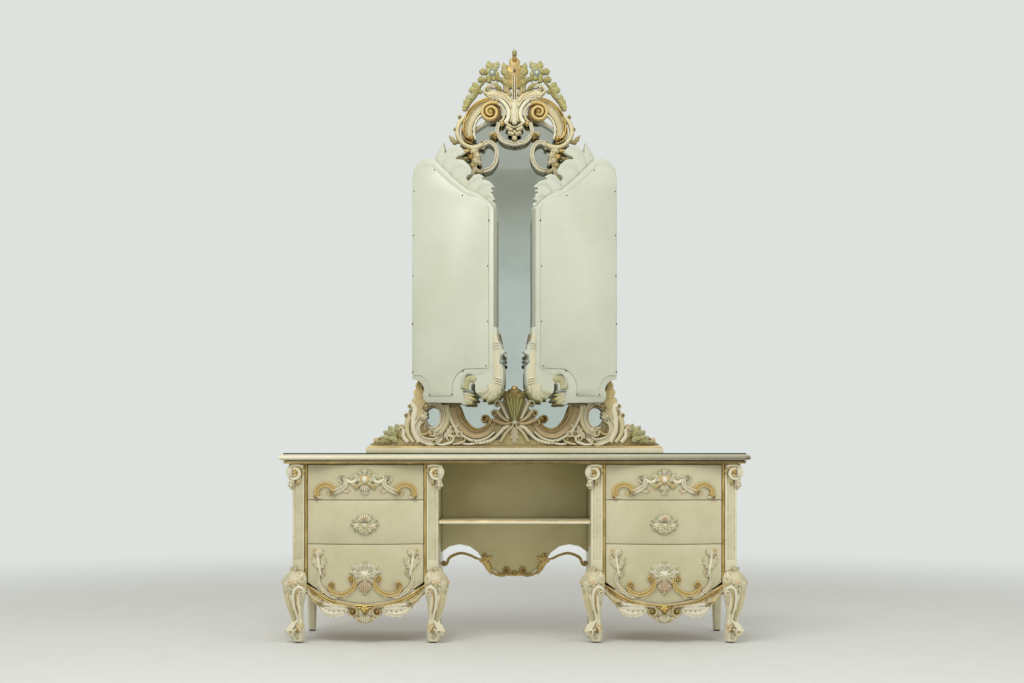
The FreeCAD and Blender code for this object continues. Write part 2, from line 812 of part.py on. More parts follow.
def kneehole_shelf():
    nose_y = post_front_y + shelf_set_back
    shelf = block(-kneehole_x, kneehole_x, nose_y, kneehole_back_y, shelf_height - shelf_thick,
                  shelf_height)
    front_edges = [edge for edge in shelf.Edges
                   if edge.BoundBox.YMax < nose_y + shelf_nose_radius
                   and edge.BoundBox.XLength > kneehole_x]
    return shelf.makeFillet(shelf_nose_radius, front_edges)


def kneehole_trim():
    """A gilt band of scrolls on the panel's lower edge."""
    skirt_z = board_bottom_z - kneehole_back_skirt
    place = upright(0, kneehole_back_y - trim_relief, skirt_z, kneehole_x, board_bottom_z - skirt_z)
    scroll_shares = [
        ((-0.93, 0.24), (-0.50, 0.20), (-0.73, 0.32), (-0.73, 0.285)),
        ((-0.50, 0.20), (-0.06, 0.08), (-0.26, 0.00), (-0.27, 0.045)),
    ]
    leaf_shares = [((-0.56, 0.22), (-0.32, 0.05), 2.0)]
    middle_shares = [((-0.10, 0.03), (0.10, 0.03), 1.5)]
    eyes = [((-0.93, 0.235), trim_end_radius), ((-0.08, 0.07), trim_inner_radius)]
    solids = carve(place, trim_relief, scroll_shares, leaf_shares, trim_band, eyes)
    middle = carve(place, trim_relief, [], middle_shares, trim_band, [])
    return fused(both_sides(solids, 0) + middle)


# Mirror stand
def mirror_plinth():
    x = plinth_width / 2
    y0 = mirror_front_y - plinth_front
    y1 = mirror_front_y + plinth_back
    plinth = block(-x, x, y0, y1, table_height, plinth_top_z)
    top_edges = [edge for edge in plinth.Edges
                 if edge.BoundBox.ZMin > table_height + plinth_height / 2
                 and edge.BoundBox.YMin < y1 - overrun]
    return plinth.makeChamfer(plinth_bevel, top_edges)


def base_carving():
    """Pierced acanthus cresting on the plinth, with a palmette in the middle."""
    y = mirror_front_y - base_depth
    place = upright(0, y, plinth_top_z, base_half_width, base_height)
    outline_shares = [
        [(0.0, 0.0), (-1.0, 0.0)],
        [(-1.0, 0.0), (-0.96, 0.14), (-0.88, 0.20)],
        [(-0.88, 0.20), (-0.80, 0.33), (-0.765, 0.60)],
        [(-0.765, 0.60), (-0.735, 0.66), (-0.705, 0.60)],
        [(-0.705, 0.60), (-0.715, 0.85), (-0.692, 1.0)],
        [(-0.692, 1.0), (-0.665, 0.80), (-0.665, 0.60)],
        [(-0.665, 0.60), (-0.60, 0.70), (-0.52, 0.62)],
        [(-0.52, 0.62), (-0.47, 0.52), (-0.42, 0.62)],
        [(-0.42, 0.62), (-0.38, 0.64), (-0.355, 0.52)],
        [(-0.355, 0.52), (-0.31, 0.34), (-0.255, 0.44)],
        [(-0.255, 0.44), (-0.205, 0.53), (-0.16, 0.50)],
        [(-0.16, 0.50), (-0.17, 0.62), (-0.15, 0.72)],
        [(-0.15, 0.72), (-0.09, 0.87), (0.0, 0.93)],
    ]
    hole_shares = [((-0.575, 0.46), 0.036, 0.15), ((-0.139, 0.12), 0.055, 0.05), ((-0.31, 0.20), 0.045, 0.04)]
    scroll_shares = [
        ((-0.63, 0.60), (-0.48, 0.12), (-0.70, 0.12), (-0.64, 0.22)),
        ((-0.42, 0.62), (-0.22, 0.42), (-0.31, 0.20), (-0.32, 0.36)),
        ((-0.40, 0.10), (-0.20, 0.42), (-0.24, 0.10), (-0.30, 0.16)),
        ((-0.74, 0.58), (-0.82, 0.10), (-0.70, 0.26), (-0.74, 0.30)),
        ((-0.53, 0.58), (-0.44, 0.10), (-0.40, 0.34), (-0.46, 0.34)),
    ]
    leaf_shares = [
        ((-0.68, 0.45), (-0.69, 0.96), 0.13), ((-0.82, 0.10), (-0.94, 0.10), 0.14),
        ((-0.80, 0.20), (-0.80, 0.02), 0.20), ((0.0, 0.28), (-0.155, 0.66), 0.14),
        ((0.0, 0.28), (-0.10, 0.80), 0.16),
    ]
    palmette_shares = [((0.0, 0.05), (0.0, 0.93), 0.22)]
    eyes = [((-0.62, 0.60), crest_eye_radius), ((-0.205, 0.43), crest_eye_radius),
            ((-0.735, 0.58), crest_eye_radius), ((-0.48, 0.14), crest_eye_radius)]
    plate = deep(symmetric_face(run_edges(outline_shares, place), outline_steps), base_depth)
    holes = both_sides([pierced(place, *row, base_depth) for row in hole_shares], 0)
    raised = upright(0, y - base_relief, plinth_top_z, base_half_width, base_height)
    depth = base_relief + base_depth
    solids = both_sides(carve(raised, depth, scroll_shares, leaf_shares, base_height, eyes), 0)
    palmette = carve(raised, depth, [], palmette_shares, base_height, [])
    return fused([plate] + solids + palmette).cut(Part.makeCompound(holes))


# Centre mirror
def mirror_outline(border, arch_border, bottom_border, y):
    """Tombstone arch over shouldered sides, drawn in by the borders."""
    half = mirror_frame_half_width - border
    low = plinth_top_z + bottom_border
    radius = mirror_arch_radius - arch_border
    arch_z = table_height + mirror_arch_height
    shoulder_z = table_height + mirror_shoulder_height
    spring_z = arch_z + border * spring_border_share
    arch_foot_x = math.sqrt(radius ** 2 - (spring_z - arch_z) ** 2)
    shoulder_x = mirror_frame_half_width * mirror_shoulder_share - border * shoulder_border_share
    shoulder_top = arch_z - mirror_shoulder_drop - border
    rise = math.sqrt(0.5) * radius
    left = [
        run_edge([vec(0, y, low), vec(-half, y, low)]),
        run_edge([vec(-half, y, low), vec(-half, y, shoulder_z)]),
        run_edge([vec(-half, y, shoulder_z),
                  vec(-(half + shoulder_x) / 2 - mirror_shoulder_swell, y,
                      (shoulder_z + shoulder_top) / 2 + mirror_shoulder_lift),
                  vec(-shoulder_x, y, shoulder_top)]),
        run_edge([vec(-shoulder_x, y, shoulder_top), vec(-arch_foot_x, y, spring_z)]),
        run_edge([vec(-arch_foot_x, y, spring_z), vec(-rise, y, arch_z + rise), vec(0, y, arch_z + radius)]),
    ]
    return symmetric_face(left, arch_steps)


def mirror_frame():
    outer = mirror_outline(0, 0, 0, mirror_front_y)
    sight = mirror_outline(mirror_border, mirror_arch_border, mirror_bottom_border, mirror_front_y - overrun)
    seat = mirror_outline(mirror_border - rebate, mirror_arch_border - rebate,
                          mirror_bottom_border - rebate, mirror_back_y - mirror_glass_thick)
    frame = deep(outer, mirror_frame_depth).cut(deep(sight, mirror_frame_depth + 2 * overrun))
    return frame.cut(deep(seat, mirror_glass_thick + overrun))


def mirror_glass():
    gap = rebate - glass_clearance
    outline = mirror_outline(mirror_border - gap, mirror_arch_border - gap, mirror_bottom_border - gap,
                             mirror_back_y - mirror_glass_thick)
    return deep(outline, mirror_glass_thick)


def mirror_backboard():
    outline = mirror_outline(backboard_margin, backboard_margin, backboard_margin, mirror_back_y)
    return deep(outline, backboard_thick)


def mirror_struts():
    y = mirror_back_y + backboard_thick
    struts = []
    for side in (-1, 1):
        x = side * strut_spread / 2
        struts.append(block(x - strut_width / 2, x + strut_width / 2, y, y + strut_thick, plinth_top_z,
                            plinth_top_z + strut_height))
    return struts


def mirror_crest():
    """Pierced crest: twin C-scrolls, an acanthus finial, flowers and trailing leaves."""
    y = mirror_front_y - crest_depth
    base_z = plinth_top_z + crest_base
    place = upright(0, y, base_z, crest_half_width, crest_height)
    outline_shares = [
        [(0.0, 0.31), (-0.12, 0.33), (-0.23, 0.27)],
        [(-0.23, 0.27), (-0.20, 0.18), (-0.26, 0.10)],
        [(-0.26, 0.10), (-0.48, 0.08), (-0.69, 0.0)],
        [(-0.69, 0.0), (-0.74, 0.12), (-0.86, 0.20)],
        [(-0.86, 0.20), (-0.88, 0.28), (-0.98, 0.36)],
        [(-0.98, 0.36), (-0.86, 0.395), (-0.76, 0.47)],
        [(-0.76, 0.47), (-0.80, 0.56), (-0.70, 0.66)],
        [(-0.70, 0.66), (-0.64, 0.76), (-0.48, 0.86)],
        [(-0.48, 0.86), (-0.36, 0.92), (-0.22, 0.86)],
        [(-0.22, 0.86), (-0.18, 0.80)],
        [(-0.18, 0.80), (-0.14, 0.93), (0.0, 1.0)],
    ]
    hole_shares = [((-0.51, 0.445), 0.085, 0.075), ((-0.345, 0.215), 0.07, 0.09),
                   ((-0.52, 0.70), 0.05, 0.035)]
    scroll_shares = [
        ((-0.33, 0.53), (-0.66, 0.34), (-0.74, 0.55), (-0.56, 0.52)),
        ((-0.52, 0.30), (-0.30, 0.08), (-0.48, 0.10), (-0.42, 0.17)),
        ((-0.66, 0.34), (-0.56, 0.04), (-0.76, 0.18), (-0.62, 0.18)),
        ((-0.24, 0.42), (0.03, 0.33), (-0.18, 0.30), (-0.13, 0.38)),
        ((-0.08, 0.45), (-0.42, 0.70), (-0.12, 0.66), (-0.22, 0.60)),
    ]
    leaf_shares = [
        ((-0.72, 0.30), (-0.94, 0.37), 0.05), ((-0.66, 0.56), (-0.72, 0.70), 0.06),
        ((0.0, 0.55), (-0.17, 0.84), 0.07), ((-0.20, 0.66), (-0.58, 0.80), 0.06),
        ((-0.74, 0.20), (-0.70, 0.03), 0.04),
    ]
    finial_shares = [((0.0, 0.36), (0.0, 0.99), 0.11)]
    eyes = [((-0.32, 0.53), crest_eye_radius), ((-0.64, 0.345), crest_eye_radius),
            ((-0.36, 0.86), flower_radius), ((-0.48, 0.80), bud_radius), ((-0.26, 0.38), stem_eye_radius)]
    plate = deep(symmetric_face(run_edges(outline_shares, place), outline_steps), crest_depth)
    holes = both_sides([pierced(place, *row, crest_depth) for row in hole_shares], 0)
    raised = upright(0, y - crest_relief, base_z, crest_half_width, crest_height)
    depth = crest_relief + crest_depth
    solids = both_sides(carve(raised, depth, scroll_shares, leaf_shares, crest_height, eyes), 0)
    finial = carve(raised, depth, [], finial_shares, crest_height, [])
    return fused([plate] + solids + finial).cut(Part.makeCompound(holes))


# Left wing, drawn flat on the mirror; the right wing is its image
def wing_place(y):
    return upright(hinge_x, y, wing_bottom_z, wing_width, wing_height)


hinge_edge_share = hinge_side_clearance / wing_width
# Runs of the wing's outline: shares of its width, from the hinge pin, and of its height.
wing_outline_shares = [
    [(hinge_edge_share, 0.100), (0.08, 0.094), (0.165, 0.055)],
    [(0.165, 0.055), (0.15, 0.02), (0.19, 0.004)],
    [(0.19, 0.004), (0.64, 0.0)],
    [(0.64, 0.0), (0.72, 0.010), (0.735, 0.035)],
    [(0.735, 0.035), (0.62, 0.075), (0.70, 0.115)],
    [(0.70, 0.115), (0.86, 0.115), (1.0, 0.16)],
    [(1.0, 0.16), (1.0, 0.785)],
    [(1.0, 0.785), (0.84, 0.838), (0.67, 0.868)],
    [(0.67, 0.868), (0.48, 0.925), (0.28, 0.997)],
    [(0.28, 0.997), (0.08, 0.985), (hinge_edge_share, 0.93)],
    [(hinge_edge_share, 0.93), (hinge_edge_share, 0.100)],
]
# The opening in front of the glass, and the panel on the back, in the same shares.
wing_sight_shares = [
    [(0.13, 0.16), (0.45, 0.13), (0.86, 0.19)],
    [(0.86, 0.19), (0.86, 0.765)],
    [(0.86, 0.765), (0.58, 0.842), (0.27, 0.945)],
    [(0.27, 0.945), (0.16, 0.94), (0.13, 0.90)],
    [(0.13, 0.90), (0.13, 0.16)],
]
wing_panel_shares = [
    [(0.03, 0.115), (0.19, 0.10), (0.212, 0.03)],
    [(0.212, 0.03), (0.515, 0.03)],
    [(0.515, 0.03), (0.55, 0.11), (0.66, 0.138)],
    [(0.66, 0.138), (0.945, 0.14)],
    [(0.945, 0.14), (0.945, 0.78)],
    [(0.945, 0.78), (0.86, 0.822), (0.72, 0.835)],
    [(0.72, 0.835), (0.48, 0.895), (0.25, 0.975)],
    [(0.25, 0.975), (0.08, 0.96), (0.03, 0.88)],
    [(0.03, 0.88), (0.03, 0.115)],
]


def at_rest(shape):
    """Swings a flat wing piece about its hinge pin to where it stands at rest."""
    turned = shape.copy()
    turned.rotate(vec(hinge_x, hinge_y, 0), vec(0, 0, 1), -wing_rest_angle)
    return turned


def wing_sight(y, margin):
    """The opening in front of the glass, let out all round by the margin."""
    middle_u = (wing_sight_shares[1][0][0] + wing_sight_shares[4][0][0]) / 2
    middle_v = (wing_sight_shares[0][1][1] + wing_sight_shares[2][-1][1]) / 2
    wide = wing_width + margin / (wing_sight_shares[1][0][0] - middle_u)
    high = wing_height + margin / (wing_sight_shares[2][-1][1] - middle_v)
    centre = wing_place(y)(middle_u, middle_v)
    place = upright(centre.x - middle_u * wide, y, centre.z - middle_v * high, wide, high)
    return closed_face(wing_sight_shares, place, curve_steps)


def wing_body():
    """The whole wing without its opening, flat on the mirror."""
    return deep(closed_face(wing_outline_shares, wing_place(wing_back_y), curve_steps), wing_depth)


def wing_frame():
    sight = deep(wing_sight(wing_back_y - overrun, 0), wing_depth + 2 * overrun)
    seat = deep(wing_sight(wing_back_y - overrun, rebate), overrun + mirror_glass_thick)
    return at_rest(wing_body().cut(sight).cut(seat))


def wing_glass():
    return at_rest(deep(wing_sight(wing_back_y, rebate - glass_clearance), mirror_glass_thick))


def wing_back_panel():
    panel = closed_face(wing_panel_shares, wing_place(wing_back_y - wing_panel_thick), curve_steps)
    return at_rest(deep(panel, wing_panel_thick))


def wing_carving():
    """Leaves over the sloping top, and the scroll and console at the lower free corner."""
    place = wing_place(wing_front_y - wing_leaf_depth)
    low_place = wing_place(wing_back_y)
    leaf_shares = [
        ((0.30, 0.96), (0.25, 1.040), 0.11), ((0.38, 0.94), (0.41, 1.063), 0.13),
        ((0.52, 0.90), (0.52, 1.040), 0.11), ((0.58, 0.88), (0.66, 1.030), 0.12),
        ((0.56, 0.87), (0.74, 0.955), 0.13), ((0.74, 0.82), (0.80, 0.920), 0.11),
        ((0.78, 0.80), (0.93, 0.900), 0.12), ((0.84, 0.78), (1.00, 0.860), 0.12),
        ((0.88, 0.76), (1.01, 0.810), 0.10),
    ]
    spine_shares = [
        [(0.27, 0.95), (0.45, 0.99), (0.62, 0.93)],
        [(0.62, 0.93), (0.80, 0.87), (0.98, 0.79)],
        [(0.98, 0.79), (0.80, 0.82), (0.60, 0.87)],
        [(0.60, 0.87), (0.40, 0.93), (0.27, 0.95)],
    ]
    corbel_share = 1.0 + corbel_reach / wing_width
    brow_share = 1.0 + corbel_brow_reach / wing_width
    console_shares = [
        [(1.0, 0.27), (0.96, 0.18), (0.90, 0.13)],
        [(0.90, 0.13), (0.82, 0.105), (0.80, 0.06)],
        [(0.80, 0.06), (0.90, 0.015), (1.0, 0.05)],
        [(1.0, 0.05), (corbel_share, 0.10), (1.01, 0.15)],
        [(1.01, 0.15), (brow_share, 0.20), (1.0, 0.27)],
    ]
    curl_shares = [
        [(0.735, 0.035), (0.80, 0.045), (0.80, 0.06)],
        [(0.80, 0.06), (0.80, 0.10), (0.70, 0.115)],
        [(0.70, 0.115), (0.62, 0.075), (0.735, 0.035)],
    ]
    leaves = carve(place, wing_leaf_depth, [], leaf_shares, wing_width, [])
    spine = deep(closed_face(spine_shares, place, curve_steps), wing_leaf_depth)
    crown = fused([spine] + leaves).cut(wing_body())
    console = deep(closed_face(console_shares, low_place, outline_steps), wing_depth).cut(wing_body())
    curl = deep(closed_face(curl_shares, low_place, outline_steps), wing_depth).cut(wing_body())
    return [at_rest(solid) for shape in (crown, console, curl) for solid in shape.Solids]


# Wing hinges
def hinge_levels():
    return [wing_bottom_z + share * wing_height for share in hinge_height_shares]


def knuckle(z0, z1, bore):
    tube = boss(vec(hinge_x, hinge_y, z0), hinge_knuckle_radius, hinge_knuckle_radius, z1 - z0, vec(0, 0, 1))
    if bore:
        hole = Part.makeCylinder(hinge_pin_radius + hinge_bore_clearance, z1 - z0 + 2 * overrun,
                                 vec(hinge_x, hinge_y, z0 - overrun))
        tube = tube.cut(hole)
    return tube


def fixed_leaves():
    """Leaves on the centre frame, each with its outer knuckles and the pin."""
    leaves = []
    third = hinge_length / 3
    for z in hinge_levels():
        low = z - hinge_length / 2
        high = z + hinge_length / 2
        plate = block(hinge_x, hinge_x + hinge_side_clearance + hinge_leaf_width,
                      mirror_front_y - hinge_leaf_thick, mirror_front_y, low, high)
        window = block(hinge_x - overrun, hinge_x + hinge_knuckle_radius + hinge_slit, hinge_y - overrun,
                       mirror_front_y + overrun, low + third, high - third)
        pin = Part.makeCylinder(hinge_pin_radius, hinge_length, vec(hinge_x, hinge_y, low))
        leaves.append(fused([plate.cut(window), knuckle(low, low + third, False),
                             knuckle(high - third, high, False), pin]))
    return leaves


def wing_leaves():
    """Leaves on the wing, each with the middle knuckle that turns on the pin."""
    leaves = []
    third = hinge_length / 3
    for z in hinge_levels():
        low = z - hinge_length / 2 + third + hinge_slit
        high = z + hinge_length / 2 - third - hinge_slit
        plate = block(hinge_x, hinge_x + hinge_side_clearance + hinge_leaf_width, wing_front_y,
                      wing_front_y + hinge_leaf_thick, z - hinge_length / 2, z + hinge_length / 2)
        for z0, z1 in ((z - hinge_length / 2, low), (high, z + hinge_length / 2)):
            plate = plate.cut(block(hinge_x - overrun, hinge_x + hinge_knuckle_radius + hinge_slit,
                                    hinge_y - overrun, hinge_y + overrun, z0, z1))
        bore = Part.makeCylinder(hinge_pin_radius + hinge_bore_clearance, hinge_length,
                                 vec(hinge_x, hinge_y, z - hinge_length / 2))
        leaves.append(at_rest(fused([plate, knuckle(low, high, True)]).cut(bore)))
    return leaves


def build():
    os.makedirs("parts", exist_ok=True)
    export("glass_top", [glass_top()])
    export("table_top", [table_top()])
    export("top_edge_moulding", edge_moulding())
    export("left_side_outer", [side_panel(-pedestal_outer_x, 1)])
    export("left_side_inner", [side_panel(-kneehole_x, -1)])
    export("right_side_inner", [side_panel(kneehole_x, 1)])
    export("right_side_outer", [side_panel(pedestal_outer_x, -1)])
    centres = (-pedestal_centre_x, pedestal_centre_x)
    export("case_backs", [case_back(x) for x in centres])
    export("case_floors_and_rails", [case_floor(x) for x in centres] + [case_rail(x) for x in centres])
    levels = ("top", "middle", "bottom")
    export("drawer_runners", [runner(level, x, side) for x in centres for level in levels
                              for side in (-1, 1)])
    post_places = ((-pedestal_outer_x, 1), (-kneehole_x, -1), (kneehole_x, 1), (pedestal_outer_x, -1))
    export("front_posts", [front_post(x, inward) for x, inward in post_places])
    export("post_capitals", [capital(x, -inward) for x, inward in post_places])
    export("rear_legs", [rear_leg(x, inward) for x, inward in post_places])
    leg = cabriole_leg()
    inner_leg = leg.mirror(vec(-pedestal_centre_x, 0, 0), vec(1, 0, 0))
    export("left_outer_leg", [leg])
    export("left_inner_leg", [inner_leg])
    export("right_inner_leg", [mirrored(inner_leg)])
    export("right_outer_leg", [mirrored(leg)])
    export("foot_pads", foot_pads())
    bead_x = front_width / 2 + drawer_side_gap + bead_width / 2
    export("gilt_beads", [gilt_bead(x + side * bead_x) for x in centres for side in (-1, 1)])
    left_apron = apron(-pedestal_centre_x)
    export("left_apron", [left_apron])
    export("right_apron", [mirrored(left_apron)])
    export("kneehole_back", [kneehole_back()])
    export("kneehole_shelf", [kneehole_shelf()])
    export("kneehole_scroll_trim", [kneehole_trim()])
    for level, handle in (("top", top_handle), ("middle", middle_handle), ("bottom", bottom_handle)):
        drawer_pieces = {"front": [drawer_front(level, -pedestal_centre_x)],
                         "box": drawer_box(level, -pedestal_centre_x),
                         "handle": [handle(-pedestal_centre_x)]}
        for piece, solids in drawer_pieces.items():
            export("left_" + level + "_drawer_" + piece, solids)
            export("right_" + level + "_drawer_" + piece, [mirrored(solid) for solid in solids])
    export("mirror_plinth", [mirror_plinth()])
    export("mirror_base_carving", [base_carving()])
    export("mirror_frame", [mirror_frame()])
    export("mirror_glass", [mirror_glass()])
    export("mirror_backboard", [mirror_backboard()])
    export("mirror_struts", mirror_struts())
    export("mirror_crest", [mirror_crest()])
    wing_pieces = {"frame": [wing_frame()], "glass": [wing_glass()], "back": [wing_back_panel()],
                   "carving": wing_carving(), "hinge_leaves": wing_leaves()}
    for name, solids in wing_pieces.items():
        export("left_wing_" + name, solids)
        export("right_wing_" + name, [mirrored(solid) for solid in solids])
    fixed = fixed_leaves()
    export("hinge_fixed_leaves", fixed + [mirrored(solid) for solid in fixed])


build()
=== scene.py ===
"""Looks of the poudreuse dressing table: ivory paint, carved and gilt ornament, three mirrors."""

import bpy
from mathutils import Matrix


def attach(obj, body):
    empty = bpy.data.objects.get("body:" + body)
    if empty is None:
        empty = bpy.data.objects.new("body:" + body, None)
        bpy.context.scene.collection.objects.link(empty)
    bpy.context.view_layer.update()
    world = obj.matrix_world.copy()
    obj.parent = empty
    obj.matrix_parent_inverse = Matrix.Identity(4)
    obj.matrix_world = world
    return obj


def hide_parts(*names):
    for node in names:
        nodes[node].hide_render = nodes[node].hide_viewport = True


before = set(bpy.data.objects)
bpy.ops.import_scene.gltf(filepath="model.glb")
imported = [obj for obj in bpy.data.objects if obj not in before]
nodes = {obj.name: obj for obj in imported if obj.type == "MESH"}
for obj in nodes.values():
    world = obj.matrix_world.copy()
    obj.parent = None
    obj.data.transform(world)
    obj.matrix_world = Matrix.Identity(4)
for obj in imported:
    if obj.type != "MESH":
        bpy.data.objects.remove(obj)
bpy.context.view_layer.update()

import copy
import math

import bmesh
import bpy
from mathutils import Vector

mm = 0.001
join_distance = 0.00001     # Corners nearer than this are one, in metres


# Colours
def paint(red, green, blue):
    """A colour given as its display values, in linear light."""
    def linear(level):
        share = level / 255
        return share / 12.92 if share <= 0.04045 else ((share + 0.055) / 1.055) ** 2.4
    return (linear(red), linear(green), linear(blue), 1.0)


ivory = paint(205, 199, 167)
ivory_shade = paint(188, 182, 145)
pale = paint(232, 227, 200)
pale_shade = paint(222, 216, 186)
cream = paint(214, 204, 164)
straw = paint(198, 182, 132)
umber = paint(112, 88, 44)
gold = paint(216, 190, 122)
gold_deep = paint(168, 140, 78)
sage = paint(192, 188, 122)
olive = paint(154, 144, 80)
rose = paint(222, 196, 160)
blush = paint(208, 188, 144)
sea_green = paint(196, 202, 158)
pearl = paint(232, 228, 208)
chalk = paint(204, 208, 192)
chalk_shade = paint(196, 200, 180)
slate_blue = paint(140, 156, 148)
moss = paint(180, 178, 136)
tan = paint(214, 208, 178)
frame_grey = paint(180, 182, 166)
backdrop_tone = paint(222, 226, 222)


# Short ways to build shader nodes
class Shading:
    def __init__(self, tree):
        self.tree = tree

    def put(self, kind, **settings):
        node = self.tree.nodes.new(kind)
        for name, value in settings.items():
            setattr(node, name, value)
        return node

    def feed(self, socket, value):
        if isinstance(value, bpy.types.NodeSocket):
            self.tree.links.new(value, socket)
        else:
            socket.default_value = value

    def calc(self, operation, *values, clamp=False):
        node = self.put("ShaderNodeMath", operation=operation, use_clamp=clamp)
        for socket, value in zip(node.inputs, values):
            self.feed(socket, value)
        return node.outputs[0]

    def blend(self, amount, first, second):
        node = self.put("ShaderNodeMix", data_type="RGBA", clamp_factor=True)
        self.feed(node.inputs[0], amount)
        self.feed(node.inputs[6], first)
        self.feed(node.inputs[7], second)
        return node.outputs[2]

    def spread(self, value, low, high, to_low=0.0, to_high=1.0):
        node = self.put("ShaderNodeMapRange", interpolation_type="SMOOTHSTEP")
        for socket, number in zip(node.inputs, (value, low, high, to_low, to_high)):
            self.feed(socket, number)
        return node.outputs[0]

    def spot(self, stretch=(1.0, 1.0, 1.0)):
        """Places on the piece itself, stretched per axis."""
        place = self.put("ShaderNodeTexCoord").outputs["Object"]
        mapping = self.put("ShaderNodeMapping")
        self.feed(mapping.inputs["Vector"], place)
        mapping.inputs["Scale"].default_value = stretch
        return mapping.outputs[0]

    def cloud(self, place, scale, detail=2.0, roughness=0.5):
        node = self.put("ShaderNodeTexNoise")
        self.feed(node.inputs["Vector"], place)
        for name, value in (("Scale", scale), ("Detail", detail), ("Roughness", roughness)):
            node.inputs[name].default_value = value
        return node.outputs[0]

    def show_mix(self, share, first, second, end="Material Output"):
        """Sends a mix of two shaders to the output."""
        mix = self.put("ShaderNodeMixShader")
        for socket, value in zip(mix.inputs, (share, first.outputs[0], second.outputs[0])):
            self.feed(socket, value)
        self.feed(self.tree.nodes[end].inputs["Surface"], mix.outputs[0])


def effect(name, inputs, outputs):
    """A node group with named sockets; returns it with its shading, inputs and outputs."""
    group = bpy.data.node_groups.new(name, "ShaderNodeTree")
    for label, value in inputs.items():
        kind = "NodeSocketColor" if isinstance(value, tuple) else "NodeSocketFloat"
        socket = group.interface.new_socket(label, in_out="INPUT", socket_type=kind)
        socket.default_value = value
    for label, kind in outputs.items():
        group.interface.new_socket(label, in_out="OUTPUT", socket_type="NodeSocket" + kind)
    shading = Shading(group)
    given = shading.put("NodeGroupInput").outputs
    wanted = shading.put("NodeGroupOutput").inputs
    return group, shading, given, wanted


def aged_paint_effect():
    """Brushed paint that has yellowed in clouds, with grime and painted shade in its corners, and a few
    flecks.
    """
    group, s, given, wanted = effect("aged paint",
                                     {"Paint": ivory, "Shade": ivory_shade, "Grime And Shade": umber, "Dirt Share": 0.5},
                                     {"Color": "Color", "Roughness": "Float", "Height": "Float"})
    place = s.spot()
    clouds = s.cloud(place, 3.2, 4.0, 0.6)
    fine = s.cloud(place, 70.0, 3.0)
    brush = s.cloud(s.spot((170.0, 170.0, 9.0)), 1.0, 2.0)
    flecks = s.spread(s.cloud(place, 330.0, 2.0), 0.70, 0.78)
    tone = s.blend(s.spread(clouds, 0.35, 0.7), given["Paint"], given["Shade"])
    tone = s.blend(s.calc("MULTIPLY", s.spread(fine, 0.45, 0.8), 0.25), tone, given["Shade"])
    # Painted shade: ambient occlusion finds corners and nooks, and the paint darkens there towards umber,
    # together with grime
    corner = s.put("ShaderNodeAmbientOcclusion", samples=6)
    corner.inputs["Distance"].default_value = 0.016
    hidden = s.spread(corner.outputs["AO"], 0.85, 0.25)
    grime_and_shade = s.calc("MULTIPLY", hidden, s.spread(fine, 0.2, 0.7, 0.5, 1.0))
    grime_and_shade = s.calc("MULTIPLY", grime_and_shade, given["Dirt Share"])
    grime_and_shade = s.calc("MAXIMUM", grime_and_shade, s.calc("MULTIPLY", flecks, 0.35))
    s.feed(wanted["Color"], s.blend(grime_and_shade, tone, given["Grime And Shade"]))
    rough = s.calc("ADD", s.spread(clouds, 0.3, 0.7, 0.30, 0.42), s.calc("MULTIPLY", grime_and_shade, 0.3))
    s.feed(wanted["Roughness"], rough)
    s.feed(wanted["Height"], s.calc("ADD", s.calc("MULTIPLY", brush, 0.5), s.calc("MULTIPLY", fine, 0.35)))
    return group


def gilding_effect():
    """Rubbed gilding and umber glazing over a painted ground, as two masks ask; corners found by ambient
    occlusion get painted shade in the same umber.
    """
    group, s, given, wanted = effect("rubbed gilding",
                                     {"Ground": cream, "Gold": gold, "Old Gold": gold_deep, "Glaze And Shade": umber,
                                      "Gilt": 0.0, "Hollow": 0.0},
                                     {"Color": "Color", "Metallic": "Float", "Roughness": "Float",
                                      "Height": "Float"})
    place = s.spot()
    wear = s.cloud(place, 60.0, 4.0, 0.6)
    clouds = s.cloud(place, 14.0, 3.0)
    grain = s.cloud(place, 240.0, 2.0)
    worn = s.calc("ADD", given["Gilt"], s.calc("MULTIPLY", s.calc("SUBTRACT", wear, 0.5), 0.9))
    gilt = s.spread(worn, 0.44, 0.66)
    # Painted shade: corners found by ambient occlusion join the hollows, and the umber glazing darkens them
    corner = s.put("ShaderNodeAmbientOcclusion", samples=6)
    corner.inputs["Distance"].default_value = 0.010
    hidden = s.spread(corner.outputs["AO"], 0.62, 0.14)
    hollow = s.calc("MAXIMUM", given["Hollow"], hidden)
    glaze_and_shade = s.calc("MULTIPLY", hollow, s.spread(wear, 0.2, 0.7, 0.55, 1.0), clamp=True)
    ground = s.blend(s.calc("MULTIPLY", clouds, 0.22), given["Ground"],
                     s.blend(0.5, given["Ground"], given["Glaze And Shade"]))
    ground = s.blend(s.calc("MULTIPLY", glaze_and_shade, 0.8), ground, given["Glaze And Shade"])
    metal = s.blend(s.spread(clouds, 0.3, 0.75), given["Gold"], given["Old Gold"])
    metal = s.blend(s.calc("MULTIPLY", glaze_and_shade, 0.75), metal, s.blend(0.5, given["Old Gold"], given["Glaze And Shade"]))
    s.feed(wanted["Color"], s.blend(gilt, ground, metal))
    shine = s.calc("MULTIPLY", gilt, s.spread(glaze_and_shade, 0.0, 1.0, 0.72, 0.2))
    s.feed(wanted["Metallic"], shine)
    s.feed(wanted["Roughness"], s.calc("ADD", s.calc("MULTIPLY", wear, 0.22),
                                       s.spread(gilt, 0.0, 1.0, 0.34, 0.24)))
    s.feed(wanted["Height"], s.calc("ADD", s.calc("MULTIPLY", grain, 0.4), s.calc("MULTIPLY", wear, 0.6)))
    return group


